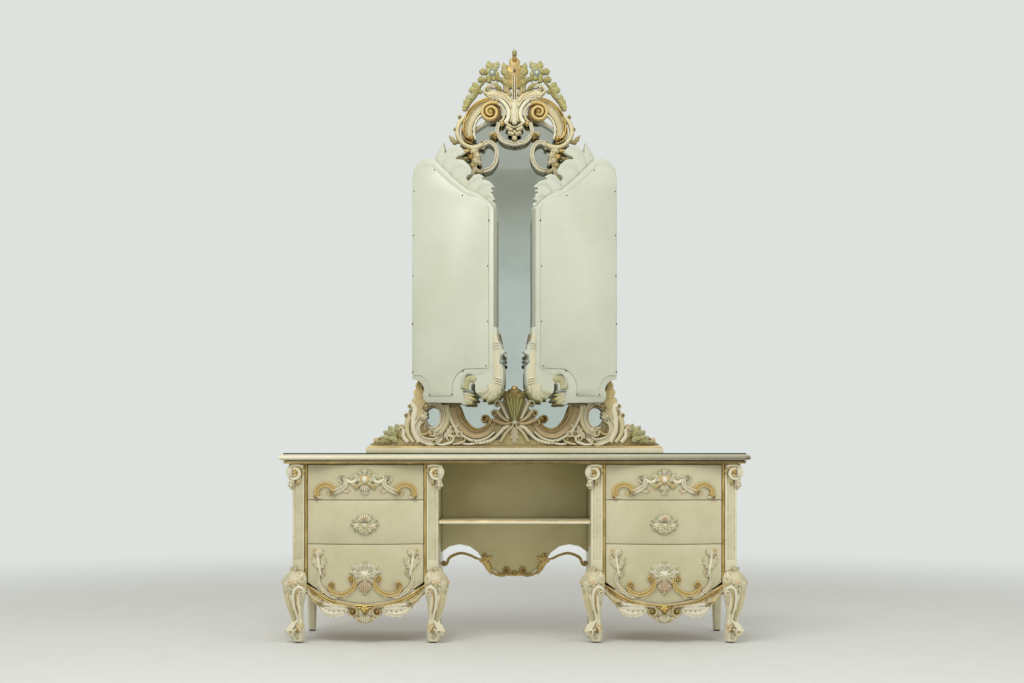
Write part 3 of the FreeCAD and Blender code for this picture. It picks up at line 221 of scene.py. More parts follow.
def wood_grain_effect():
    """Sawn softwood: growth rings drawn out along one axis, pores and a little dust."""
    group, s, given, wanted = effect("sawn wood",
                                     {"Light": paint(206, 172, 122), "Dark": paint(160, 118, 72)},
                                     {"Color": "Color", "Roughness": "Float", "Height": "Float"})
    drawn = s.spot((3.0, 26.0, 26.0))
    warp = s.cloud(drawn, 1.2, 3.0)
    rings = s.put("ShaderNodeTexWave", wave_type="RINGS", rings_direction="Y")
    s.feed(rings.inputs["Vector"], drawn)
    rings.inputs["Scale"].default_value = 1.6
    rings.inputs["Distortion"].default_value = 5.0
    pores = s.cloud(s.spot((20.0, 420.0, 420.0)), 1.0, 2.0)
    bands = s.calc("ADD", s.calc("MULTIPLY", rings.outputs["Fac"], 0.6), s.calc("MULTIPLY", warp, 0.5))
    tone = s.blend(s.spread(bands, 0.2, 0.95), given["Light"], given["Dark"])
    s.feed(wanted["Color"], s.blend(s.spread(pores, 0.58, 0.75, 0.0, 0.5), tone, given["Dark"]))
    s.feed(wanted["Roughness"], s.spread(pores, 0.3, 0.7, 0.62, 0.78))
    s.feed(wanted["Height"], s.calc("SUBTRACT", s.calc("MULTIPLY", bands, 0.5), pores))
    return group


aged_paint = aged_paint_effect()
rubbed_gilding = gilding_effect()
sawn_wood = wood_grain_effect()


# Depths of surface relief, in metres
brush_relief = 0.00025
line_relief = 0.0003
carved_relief = 0.0006
grain_relief = 0.0004
metal_relief = 0.0001
felt_relief = 0.0005
line_edge = 0.0008      # Half the soft edge of a painted line


def finish_material(name):
    """An empty finish; returns it with its shading and its Principled shader."""
    made = bpy.data.materials.new(name)
    made.use_nodes = True
    s = Shading(made.node_tree)
    return made, s, made.node_tree.nodes["Principled BSDF"]


def apply_effect(s, group, **values):
    node = s.put("ShaderNodeGroup", node_tree=group)
    for name, value in values.items():
        s.feed(node.inputs[name.replace("_", " ")], value)
    return node.outputs


def add_relief(s, shader, height, depth):
    bump = s.put("ShaderNodeBump")
    bump.inputs["Strength"].default_value = 0.6
    bump.inputs["Distance"].default_value = depth
    s.feed(bump.inputs["Height"], height)
    s.feed(shader.inputs["Normal"], bump.outputs[0])


def dress(s, shader, look, depth):
    """Feeds a shader with what an effect gives."""
    for given, wanted in (("Color", "Base Color"), ("Metallic", "Metallic"), ("Roughness", "Roughness")):
        if given in look:
            s.feed(shader.inputs[wanted], look[given])
    add_relief(s, shader, look["Height"], depth)


# The share given for the corners sets how strongly grime and painted shade darken them
def painted_wood(name, base, shade, grime_and_shade_share=0.6, coat=0.25):
    made, s, shader = finish_material(name)
    dress(s, shader, apply_effect(s, aged_paint, Paint=base, Shade=shade, Dirt_Share=grime_and_shade_share),
          brush_relief)
    shader.inputs["Coat Weight"].default_value = coat
    shader.inputs["Coat Roughness"].default_value = 0.25
    return made


def banded_paint(name, gilt_bands, glaze_bands=()):
    """Pale ivory paint with gilt lines and glazed coves between pairs of heights."""
    made, s, shader = finish_material(name)
    look = apply_effect(s, aged_paint, Paint=pale, Shade=pale_shade, Dirt_Share=0.7)
    height = s.put("ShaderNodeSeparateXYZ")
    s.feed(height.inputs[0], s.spot())
    up = height.outputs["Z"]

    def between(bands, edge):
        mask = 0.0
        for low, high in bands:
            band = s.calc("MULTIPLY", s.spread(up, low - edge, low + edge),
                          s.spread(up, high + edge, high - edge))
            mask = s.calc("MAXIMUM", mask, band)
        return mask

    rich = apply_effect(s, rubbed_gilding, Ground=look["Color"], Gilt=between(gilt_bands, line_edge),
                        Hollow=between(glaze_bands, 3 * line_edge))
    dress(s, shader, rich, line_relief)
    return made


def carved_finish(name):
    """Paint, glaze and gilding where the carver's marks on the mesh put them; the marks also lay painted
    shade at the foot of each form.
    """
    made, s, shader = finish_material(name)
    tint = s.put("ShaderNodeVertexColor", layer_name="Paint")
    marks = s.put("ShaderNodeVertexColor", layer_name="Marks")
    masks = s.put("ShaderNodeSeparateColor")
    s.feed(masks.inputs[0], marks.outputs["Color"])
    rich = apply_effect(s, rubbed_gilding, Ground=tint.outputs["Color"], Gilt=masks.outputs[0],
                        Hollow=masks.outputs[1])
    dress(s, shader, rich, carved_relief)
    return made


def raw_wood(name):
    made, s, shader = finish_material(name)
    dress(s, shader, apply_effect(s, sawn_wood), grain_relief)
    return made


def silvered_glass(name):
    """Mirror: bright silvering, faintly clouded, with a few finger smears."""
    made, s, shader = finish_material(name)
    place = s.spot()
    haze = s.cloud(place, 5.0, 3.0)
    tone = s.blend(s.spread(haze, 0.3, 0.7), paint(226, 232, 230), paint(212, 220, 218))
    s.feed(shader.inputs["Base Color"], tone)
    smears = s.cloud(s.spot((30.0, 30.0, 8.0)), 1.0, 3.0)
    s.feed(shader.inputs["Roughness"], s.spread(smears, 0.5, 0.8, 0.015, 0.06))
    shader.inputs["Metallic"].default_value = 1.0
    return made


def plate_glass(name, half_length, front, back):
    """Clear sheet whose polished edge looks deep green; it lets light through to the wood."""
    made, s, shader = finish_material(name)
    axes = s.put("ShaderNodeSeparateXYZ")
    s.feed(axes.inputs[0], s.spot())
    ends = s.spread(s.calc("ABSOLUTE", axes.outputs["X"]), half_length - 0.003, half_length - 0.001)
    fronts = s.spread(axes.outputs["Y"], front + 0.003, front + 0.001)
    backs = s.spread(axes.outputs["Y"], back - 0.003, back - 0.001)
    edge = s.calc("MAXIMUM", ends, s.calc("MAXIMUM", fronts, backs))
    dust = s.cloud(s.spot(), 40.0, 3.0)
    tone = s.blend(edge, paint(240, 248, 244), paint(52, 96, 88))
    s.feed(shader.inputs["Base Color"], tone)
    s.feed(shader.inputs["Roughness"], s.spread(dust, 0.4, 0.8, 0.02, 0.10))
    shader.inputs["Transmission Weight"].default_value = 1.0
    shader.inputs["IOR"].default_value = 1.45
    passing = s.put("ShaderNodeLightPath").outputs
    s.show_mix(s.calc("MAXIMUM", passing["Is Shadow Ray"], passing["Is Diffuse Ray"]), shader,
               s.put("ShaderNodeBsdfTransparent"))
    return made


def worn_metal(name, bright, dull):
    made, s, shader = finish_material(name)
    clouds = s.cloud(s.spot(), 90.0, 4.0)
    s.feed(shader.inputs["Base Color"], s.blend(s.spread(clouds, 0.35, 0.7), bright, dull))
    s.feed(shader.inputs["Roughness"], s.spread(clouds, 0.3, 0.7, 0.28, 0.5))
    shader.inputs["Metallic"].default_value = 0.95
    add_relief(s, shader, clouds, metal_relief)
    return made


def felt_pad(name):
    made, s, shader = finish_material(name)
    fibres = s.cloud(s.spot(), 700.0, 3.0)
    s.feed(shader.inputs["Base Color"], s.blend(fibres, paint(24, 22, 20), paint(58, 54, 50)))
    shader.inputs["Roughness"].default_value = 0.9
    add_relief(s, shader, fibres, felt_relief)
    return made


# Finishes
ivory_panel = painted_wood("ivory panel paint", ivory, ivory_shade)
ivory_post = painted_wood("ivory post paint", paint(220, 216, 186), ivory_shade, grime_and_shade_share=0.9)
kneehole_paint = painted_wood("kneehole paint", paint(202, 192, 144), paint(188, 176, 124), grime_and_shade_share=0.7)
wing_back_paint = painted_wood("chalk white back paint", chalk, chalk_shade, grime_and_shade_share=0.5, coat=0.1)
# The frame is painted grey like the mirror's reflection, so that round the crest it blends with the glass: a
# painted reflection
mirror_frame_paint = painted_wood("grey frame paint", frame_grey, straw, grime_and_shade_share=0.25)
carved_paint = carved_finish("carved and gilt paint")
drawer_wood = raw_wood("drawer beech")
mirror_silver = silvered_glass("mirror silvering")
old_brass = worn_metal("aged brass", paint(196, 160, 88), paint(120, 92, 48))
screw_steel = worn_metal("dull screw", paint(120, 112, 96), paint(70, 62, 50))
black_felt = felt_pad("black felt")


# Curves in a plane, in millimetres
span_places = 12        # Places between two points of a smooth path
curl_closing = 0.74     # Share of its radius that a curl loses on its way in
curl_places = 22        # Places to a full turn of a curl


def smooth_path(points, step):
    """Evenly spaced places on a smooth curve through the points."""
    given = [Vector(point) for point in points]
    ends = [given[0] * 2 - given[1]] + given + [given[-1] * 2 - given[-2]]
    dense = []
    for before, start, end, after in zip(ends, ends[1:], ends[2:], ends[3:]):
        for number in range(span_places):
            t = number / span_places
            dense.append(0.5 * ((2 * start) + (end - before) * t
                                + (2 * before - 5 * start + 4 * end - after) * t * t
                                + (3 * start - 3 * end + after - before) * t ** 3))
    dense.append(given[-1])
    length = sum((b - a).length for a, b in zip(dense, dense[1:]))
    count = max(3, round(length / step))
    path, gone, index = [dense[0]], 0.0, 0
    for number in range(1, count):
        wanted = length * number / count
        while gone + (dense[index + 1] - dense[index]).length < wanted:
            gone += (dense[index + 1] - dense[index]).length
            index += 1
        run = dense[index + 1] - dense[index]
        path.append(dense[index] + run * ((wanted - gone) / run.length))
    path.append(dense[-1])
    return path


def turned(vector, angle):
    cosine, sine = math.cos(angle), math.sin(angle)
    return Vector((vector.x * cosine - vector.y * sine, vector.x * sine + vector.y * cosine))


def curl_on(path, radius, turns, side):
    """Places on a spiral that carries on from the end of the path, and its centre."""
    heading = (path[-1] - path[-2]).normalized()
    inward = Vector((-heading.y, heading.x)) * side
    centre = path[-1] + inward * radius
    count = max(8, round(turns * curl_places))
    places = []
    for number in range(1, count + 1):
        share = number / count
        reach = radius * (1 - curl_closing * share)
        places.append((centre + turned(-inward, side * turns * math.tau * share) * reach, reach))
    return places, centre


def bowed(foot, tip, across=0, up=0):
    """A path from foot to tip whose middle is moved aside."""
    return [foot, ((foot[0] + tip[0]) / 2 + across, (foot[1] + tip[1]) / 2 + up), tip]


def lobed(share, lobes):
    return abs(math.sin(math.pi * lobes * share)) ** 0.6


# Cross-sections of scrolls: place across from -1 to 1, share of the relief, gilt mask, hollow mask
rim = [(-1.0, 0.0, 0.7, 0.2), (-0.94, 0.6, 1.0, 0.0), (-0.78, 0.96, 1.0, 0.0), (-0.58, 0.9, 1.0, 0.0),
       (-0.42, 0.55, 0.2, 0.8), (-0.1, 0.42, 0.0, 0.35), (0.25, 0.5, 0.0, 0.25), (0.45, 0.66, 0.2, 0.7),
       (0.62, 0.94, 0.9, 0.0), (0.82, 0.92, 0.9, 0.0), (0.95, 0.55, 0.8, 0.1), (1.0, 0.0, 0.5, 0.3)]
plump = [(-1.0, 0.0, 0.0, 0.45), (-0.94, 0.4, 0.0, 0.25), (-0.75, 0.72, 0.0, 0.0), (-0.4, 0.94, 0.0, 0.0),
         (0.0, 1.0, 0.0, 0.0), (0.4, 0.94, 0.0, 0.0), (0.75, 0.72, 0.0, 0.0), (0.94, 0.4, 0.0, 0.25),
         (1.0, 0.0, 0.0, 0.45)]
rib = [(-1.0, 0.0, 0.4, 0.5), (-0.9, 0.45, 0.7, 0.2), (-0.62, 0.84, 1.0, 0.0), (-0.2, 1.0, 1.0, 0.0),
       (0.2, 1.0, 1.0, 0.0), (0.62, 0.84, 1.0, 0.0), (0.9, 0.45, 0.7, 0.2), (1.0, 0.0, 0.4, 0.5)]
cove = [(-1.0, 0.0, 0.9, 0.1), (-0.96, 0.7, 1.0, 0.0), (-0.86, 1.0, 1.0, 0.0), (-0.74, 0.92, 1.0, 0.0),
        (-0.62, 0.6, 0.35, 0.95), (-0.4, 0.36, 0.0, 0.8), (0.0, 0.28, 0.0, 0.4), (0.4, 0.4, 0.0, 0.12),
        (0.66, 0.62, 0.0, 0.5), (0.78, 0.8, 0.15, 0.0), (0.92, 0.7, 0.15, 0.0), (1.0, 0.0, 0.0, 0.3)]

# Flutes of half a leaf: place across, share of the relief, hollow mask
leaf_half_flutes = [(0.16, 0.74, 0.55), (0.34, 0.90, 0.0), (0.5, 0.62, 0.6), (0.68, 0.74, 0.0),
                    (0.85, 0.46, 0.15), (1.0, 0.05, 0.35)]
leaf_flutes = ([(-share, ridge, vein) for share, ridge, vein in leaf_half_flutes[::-1]] + [(0.0, 1.0, 0.0)]
               + leaf_half_flutes)
leaf_lean = 0.7         # How far a leaf's rim leans to its tip, as a share of its half width


# Pieces and their carving
def link(name, data):
    made = bpy.data.objects.new(name, data)
    bpy.context.scene.collection.objects.link(made)
    return made


def add_piece(name, mesh, body):
    piece = link(name, mesh)
    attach(piece, body)
    return piece


class Carving:
    """Carved forms gathered into one mesh. Each form is closed, with its back on one surface.

    place(across, up, out) puts millimetres on the piece; base is where the relief starts.
    """

    def __init__(self, place, back=-1.0, base=1.0, sides=(1, -1), step=4.0):
        self.place, self.back, self.base, self.sides, self.step = place, back, base, sides, step
        self.points, self.faces, self.tints, self.marks = [], [], [], []

    def close(self, rings):
        count = len(rings[0])
        for side in self.sides:
            first = len(self.points)
            for ring in rings:
                for across, up, out, tint, gilt, hollow in ring:
                    self.points.append(self.place(side * across, up, out))
                    self.tints.append(tint)
                    self.marks.append((gilt, hollow, 0.0, 1.0))
            for start in range(first, first + (len(rings) - 1) * count, count):
                for column in range(count):
                    following = (column + 1) % count
                    self.faces.append((start + column, start + following, start + count + following,
                                       start + count + column))
            last = first + (len(rings) - 1) * count
            self.faces.append(tuple(range(first + count - 1, first - 1, -1)))
            self.faces.append(tuple(range(last, last + count)))

    def sharing(self, **changes):
        """A carving that adds to the same mesh but differs in how it places its forms."""
        twin = copy.copy(self)
        for name, value in changes.items():
            setattr(twin, name, value)
        return twin

    def centred(self):
        return self.sharing(sides=(1,))

    def band(self, points, width, relief, section=rib, tint=cream, gilt=1.0, taper=(1.0, 1.0), head=None,
             tail=None, lift=0.0):
        """A scroll along a path; head and tail are curls as (radius, turns, side)."""
        path = smooth_path(points, self.step)
        last = len(path) - 1
        rows = [(place, width * (taper[0] + (taper[1] - taper[0]) * number / last), 1.0)
                for number, place in enumerate(path)]
        for end, curl in (("head", head), ("tail", tail)):
            if curl is None:
                continue
            run = path[::-1] if end == "head" else path
            near = rows[0][1] if end == "head" else rows[-1][1]
            spiral, centre = curl_on(run, *curl)
            extra = [(place, min(near, 0.85 * reach), 1.0 + 0.35 * (1 - reach / curl[0]))
                     for place, reach in spiral]
            rows = extra[::-1] + rows if end == "head" else rows + extra
            self.dome(centre, 0.36 * curl[0], relief * 1.5, tint, gilt=gilt, lift=lift)
        rings = []
        for number, (place, wide, high) in enumerate(rows):
            before = rows[max(0, number - 1)][0]
            after = rows[min(len(rows) - 1, number + 1)][0]
            along = (after - before).normalized()
            across = Vector((-along.y, along.x)) * (wide / 2)
            at_end = number in (0, len(rows) - 1)
            tall = relief * high * (0.55 if at_end else 1.0)
            ring = []
            for share, rise, gilt_mask, hollow in section:
                spot = place + across * share
                ring.append((spot.x, spot.y, self.base + lift + tall * rise, tint, gilt_mask * gilt, hollow))
            # The sides down to the back are marked hollow: painted shade where the scroll meets its ground
            for share in (1.0, -1.0):
                spot = place + across * share
                ring.append((spot.x, spot.y, self.back, tint, 0.0, 0.6))
            rings.append(ring)
        self.close(rings)

    def leaf(self, points, width, relief, tint, tip_tint, lobes=3, cut=0.38, curl=0.0, gilt=0.0, rim_gilt=0.0,
             tip_gilt=0.0, lift=0.0, foot=0.4, glaze_and_shade=0.7):
        """An acanthus leaf along a path, with lobes that lean to its tip."""
        rows = max(14, lobes * 6)
        length = sum((Vector(b) - Vector(a)).length for a, b in zip(points, points[1:]))
        path = smooth_path(points, max(0.5, length / rows))
        last = len(path) - 1
        rings = []
        for number, place in enumerate(path):
            t = number / last
            along = (path[min(last, number + 1)] - path[max(0, number - 1)]).normalized()
            across = Vector((-along.y, along.x))
            lobe = lobed(t, lobes)
            full = (1 - t ** 3) * (foot + (1 - foot) * min(1.0, t / 0.4) ** 0.8)
            wide = max(0.02 * width, width / 2 * full * (1 - cut + cut * lobe))
            tall = relief * (0.55 + 0.45 * math.sin(math.pi * min(1.0, t * 0.9 + 0.15)))
            shade = tuple(a + (b - a) * t for a, b in zip(tint, tip_tint))
            ring = []
            for share, ridge, vein in leaf_flutes:
                far = abs(share)
                reach = place + across * share * wide + along * (leaf_lean * far ** 1.4 * wide)
                rise = ridge * (1 - 0.25 * (1 - lobe) * far)
                out = self.base + lift + tall * rise + curl * t ** 3
                mask = max(gilt, rim_gilt if far > 0.8 else 0.0, tip_gilt * t ** 1.5)
                hollow = glaze_and_shade * max(vein, 0.9 * (1 - lobe) * far ** 2)
                ring.append((reach.x, reach.y, out, shade, mask, hollow))
            # The sides down to the back are marked hollow: painted shade where the leaf meets its ground
            for share in (1.0, -1.0):
                reach = place + across * share * wide + along * (leaf_lean * wide)
                ring.append((reach.x, reach.y, self.back, shade, 0.0, 0.6))
            rings.append(ring)
        self.close(rings)

    def dome(self, centre, radius, relief, tint, petals=0, cut=0.22, gilt=0.0, stretch=1.0, lift=0.0, dip=0.0,
             heart=None):
        """A bead, boss, pearl or flower head; petals give it lobes, dip hollows its middle."""
        sides = max(18, petals * 6)
        rings = []
        for share, rise in (
                (0.04, 1.0), (0.3, 0.96), (0.55, 0.84), (0.78, 0.6), (0.93, 0.3), (1.0, 0.0), (0.98, None)):
            ring = []
            for number in range(sides):
                angle = math.tau * number / sides
                petal = abs(math.cos(petals * angle / 2)) ** 0.5 if petals else 1.0
                reach = radius * share * (1 - cut * (1 - petal) * share)
                spot = Vector((reach * math.cos(angle), reach * math.sin(angle) * stretch))
                if rise is None:
                    out = self.back
                else:
                    sink = dip * math.exp(-(share / 0.4) ** 2)
                    full = 0.75 + 0.25 * petal if share > 0.2 else 1.0
                    out = self.base + lift + relief * (rise - sink) * full
                # The outer rim and the back are marked hollow: painted shade where the boss meets its ground
                hollow = 0.8 * (1 - petal) * share + (0.5 if rise in (0.0, None) else 0.0)
                tone = heart if heart and share < 0.5 else tint
                ring.append((centre[0] + spot.x, centre[1] + spot.y, out, tone, gilt, min(1.0, hollow)))
            rings.append(ring)
        self.close(rings)

    def shell(self, foot, reach, relief, tint, ribs, spread, heading=math.pi / 2, rim_gilt=0.0, lift=0.0,
              heart=None):
        """A fan of flutes that opens from its foot; spread is half its angle."""
        columns = ribs * 5
        rings = []
        for share, rise in ((0.06, 0.5), (0.25, 0.75), (0.5, 1.0), (0.75, 0.95), (0.92, 0.6), (1.0, 0.15)):
            front, rear = [], []
            for number in range(columns + 1):
                u = 2 * number / columns - 1
                flute = abs(math.sin(math.pi * ribs * (u + 1) / 2)) ** 0.7
                angle = heading + u * spread
                far = reach * share * (1 + 0.12 * (flute - 1) * share ** 2) * (1 - 0.12 * u * u)
                x = foot[0] + far * math.cos(angle)
                y = foot[1] + far * math.sin(angle)
                tone = heart if heart and share < 0.4 else tint
                mask = rim_gilt if share > 0.9 else 0.0
                out = self.base + lift + relief * rise * (0.5 + 0.5 * flute)
                front.append((x, y, out, tone, mask, 0.85 * (1 - flute)))
                # The rear is marked hollow: painted shade where the shell meets its ground
                rear.append((x, y, self.back, tone, 0.0, 0.6))
            rings.append(front + rear[::-1])
        self.close(rings)

    def beads(self, points, radius, pitch, relief, tint):
        for place in smooth_path(points, pitch):
            self.dome(place, radius, relief, tint)

    def build(self, name, body, slot, *replaced, material=carved_paint):
        mesh = bpy.data.meshes.new(name)
        mesh.from_pydata([tuple(point * mm for point in spot) for spot in self.points], [], self.faces)
        for label, rows in (("Paint", self.tints), ("Marks", self.marks)):
            layer = mesh.color_attributes.new(label, "FLOAT_COLOR", "POINT")
            layer.data.foreach_set("color", [number for row in rows for number in row])
        made = bmesh.new()
        made.from_mesh(mesh)
        bmesh.ops.recalc_face_normals(made, faces=made.faces)
        made.to_mesh(mesh)
        made.free()
        mesh.polygons.foreach_set("use_smooth", [True] * len(mesh.polygons))
        mesh.materials.append(material)
        piece = add_piece(name, mesh, body)
        if replaced:
            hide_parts(*replaced)


# Sizes shared with the solids, in millimetres
pedestal_centre_x = 597.0
post_front_y = -212.0
post_outer_x = 888.0
flank_y = -202.0
bow_chord = 196.8
bow_radius = 705.4
bow_centre_y = 475.4
mirror_front_y = 165.0
kneehole_panel_y = 70.0
wing_pin = (416.5, 162.0)
wing_back_y = 107.0
wing_low_z = 968.0
wing_width = 370.0
wing_height = 1025.0
wing_rest_angle = math.radians(20.0)
gap_end_z = 239.5           # Gap under a bottom drawer: height at its ends, fall to its middle, half width
gap_fall = 80.0
gap_half_width = 245.0
leg_low_z = 5.0
leg_rise = 283.0
leg_squareness = 3.2        # Power of the rounded square that a leg is in section
leg_rows = 72
leg_sides = 32


def bow_y(across):
    if abs(across) >= bow_chord:
        return flank_y
    return bow_centre_y - math.sqrt(bow_radius ** 2 - across ** 2)


def on_bow(centre_x):
    return lambda across, up, out: (centre_x + across, bow_y(across) - out, up)


# Drawer handles
def top_handle(centre_x):
    work = Carving(on_bow(centre_x), step=3.0)
    work.band([(-192, 588), (-197, 606), (-183, 626), (-158, 634), (-135, 625), (-125, 608)], 19, 11, rim,
              head=(8, 1.0, -1), tail=(10, 1.2, -1), tint=gold, gilt=0.35)
    work.band([(-126, 604), (-103, 613), (-85, 625), (-76, 643), (-82, 664)], 19, 11, rim, pale, gilt=0.3,
              head=(9, 1.1, 1), tail=(10, 1.2, 1))
    work.band([(-204, 586), (-190, 583), (-176, 585)], 8, 8, plump, pale)
    work.leaf([(-128, 606), (-144, 598), (-156, 604)], 20, 8, pale, gold, tip_gilt=0.6)
    work.leaf([(-86, 640), (-100, 650), (-108, 666)], 18, 9, pale, cream, rim_gilt=0.4)
    work.leaf([(-92, 612), (-72, 606), (-58, 612)], 18, 8, pale, rose)
    work.band([(-73, 655), (-58, 644), (-40, 648), (-34, 662)], 13, 10, plump, pale, gilt=0.3,
              head=(7, 1.0, -1), tail=(8, 1.2, 1))
    work.leaf([(-62, 648), (-44, 634), (-28, 628)], 22, 10, pale, sage)
    work.leaf([(-18, 646), (-34, 662), (-44, 680)], 28, 13, pale, sea_green)
    work.leaf([(-12, 636), (-30, 628), (-42, 614)], 24, 12, cream, gold, tip_gilt=0.5)
    work.leaf([(-8, 664), (-18, 682), (-22, 694)], 22, 15, pale, sea_green)
    middle = work.centred()
    middle.dome((0, 652), 36, 12, cream, petals=8, gilt=0.1)
    middle.leaf([(0, 668), (0, 684), (0, 700)], 28, 15, pearl, sea_green, lift=5)
    middle.dome((0, 656), 21, 13, gold, petals=7, cut=0.3, lift=7, dip=0.3)
    middle.dome((0, 655), 13, 18, pearl, stretch=1.2, lift=9)
    middle.shell((0, 640), 34, 12, pale, ribs=5, spread=0.8, heading=-math.pi / 2, lift=7, heart=rose)
    middle.leaf([(0, 620), (0, 604), (0, 590)], 34, 10, pale, cream, rim_gilt=0.3)
    return work


def middle_handle(centre_x):
    work = Carving(on_bow(centre_x), step=3.0)
    for tip, width in (
            ((-57, 474), 28), ((-50, 493), 26), ((-30, 508), 26), ((-44, 450), 26), ((-24, 438), 24)):
        work.leaf([(0, 474), (tip[0] * 0.55, 474 + (tip[1] - 474) * 0.5), tip], width, 13, pale, sea_green,
                  rim_gilt=0.25)
    work.dome((-33, 468), 15, 20, pale, petals=5, cut=0.35, dip=0.4, heart=gold)
    work.dome((-33, 468), 5, 8, pearl, lift=14)
    work.dome((-13, 453), 13, 21, pale, petals=5, cut=0.35, dip=0.4, heart=sage)
    middle = work.centred()
    middle.dome((0, 470), 38, 15, cream, petals=9, gilt=0.1)
    middle.leaf([(0, 462), (0, 448), (0, 432)], 26, 15, pale, cream, rim_gilt=0.3)
    middle.shell((0, 482), 34, 14, pale, ribs=7, spread=1.15, lift=11, rim_gilt=0.2)
    middle.shell((0, 484), 27, 16, rose, ribs=5, spread=0.8, lift=13, heart=pale)
    middle.dome((0, 473), 11, 19, pale, petals=5, lift=12, dip=0.3)
    return work


def bottom_handle(centre_x):
    work = Carving(on_bow(centre_x), step=3.0)
    work.band([(-178, 286), (-189, 262), (-182, 232), (-162, 207), (-136, 190), (-112, 185)], 15, 9, rim,
              pale, gilt=0.2, taper=(0.8, 1.0), head=(9, 1.1, -1))
    work.band([(-38, 252), (-46, 221), (-74, 200), (-106, 194), (-134, 207), (-144, 226)], 17, 11, rim, gold,
              gilt=0.3, head=(15, 1.3, 1), tail=(12, 1.2, -1))
    work.leaf([(-100, 196), (-122, 188), (-144, 194)], 22, 9, pale, gold, tip_gilt=0.5)
    work.leaf([(-64, 202), (-84, 184), (-104, 180)], 20, 8, pale, cream)
    work.leaf([(-152, 212), (-170, 206), (-182, 214)], 20, 9, pale, gold, tip_gilt=0.4)
    work.band([(-178, 270), (-184, 300), (-190, 334), (-192, 360)], 15, 9, rib, pale, gilt=0.2,
              tail=(11, 1.1, -1), taper=(0.7, 1.0))
    work.leaf([(-182, 292), (-170, 316), (-156, 340)], 28, 11, pale, cream, rim_gilt=0.3)
    work.leaf([(-186, 296), (-202, 322), (-212, 352)], 28, 11, pale, cream, rim_gilt=0.3)
    work.leaf([(-178, 262), (-168, 278), (-164, 296)], 20, 9, pale, gold, tip_gilt=0.5)
    work.leaf([(-190, 340), (-200, 362), (-208, 376)], 22, 12, pale, gold, tip_gilt=0.6)
    work.leaf([(-188, 344), (-180, 362), (-170, 372)], 22, 12, pale, cream, rim_gilt=0.3)
    for foot, tip, width, tone in (
            ((-10, 284), (-52, 308), 34, sea_green), ((-10, 276), (-62, 284), 30, pale),
            ((-8, 292), (-26, 322), 28, pearl), ((-10, 268), (-52, 262), 26, pale),
            ((-10, 258), (-36, 240), 26, cream), ((-8, 246), (-24, 216), 22, rose)):
        work.leaf(bowed(foot, tip, up=3), width, 14, tone, pale)
    middle = work.centred()
    middle.dome((0, 274), 40, 12, cream, petals=8, gilt=0.1)
    middle.leaf([(0, 288), (0, 306), (0, 326)], 32, 17, pale, sea_green, lift=5)
    middle.dome((0, 278), 23, 14, pale, petals=7, cut=0.3, lift=7, dip=0.4)
    middle.dome((0, 278), 15, 18, pearl, lift=9)
    middle.shell((0, 256), 52, 12, rose, ribs=5, spread=0.5, heading=-math.pi / 2, lift=6, heart=pale)
    middle.leaf([(0, 216), (0, 204), (0, 192)], 22, 10, pale, gold, tip_gilt=0.5)
    return work


# Aprons
apron_lower_edge = [(-245, 196), (-226, 186), (-205, 164), (-190, 146), (-180, 126), (-166, 114), (-143, 106),
                    (-118, 104), (-96, 112), (-78, 126), (-62, 118), (-46, 100), (-24, 96), (0, 92)]


def rim_z(across):
    """Height of the gap under the bottom drawer."""
    return gap_end_z - gap_fall * (1 - (across / gap_half_width) ** 2)


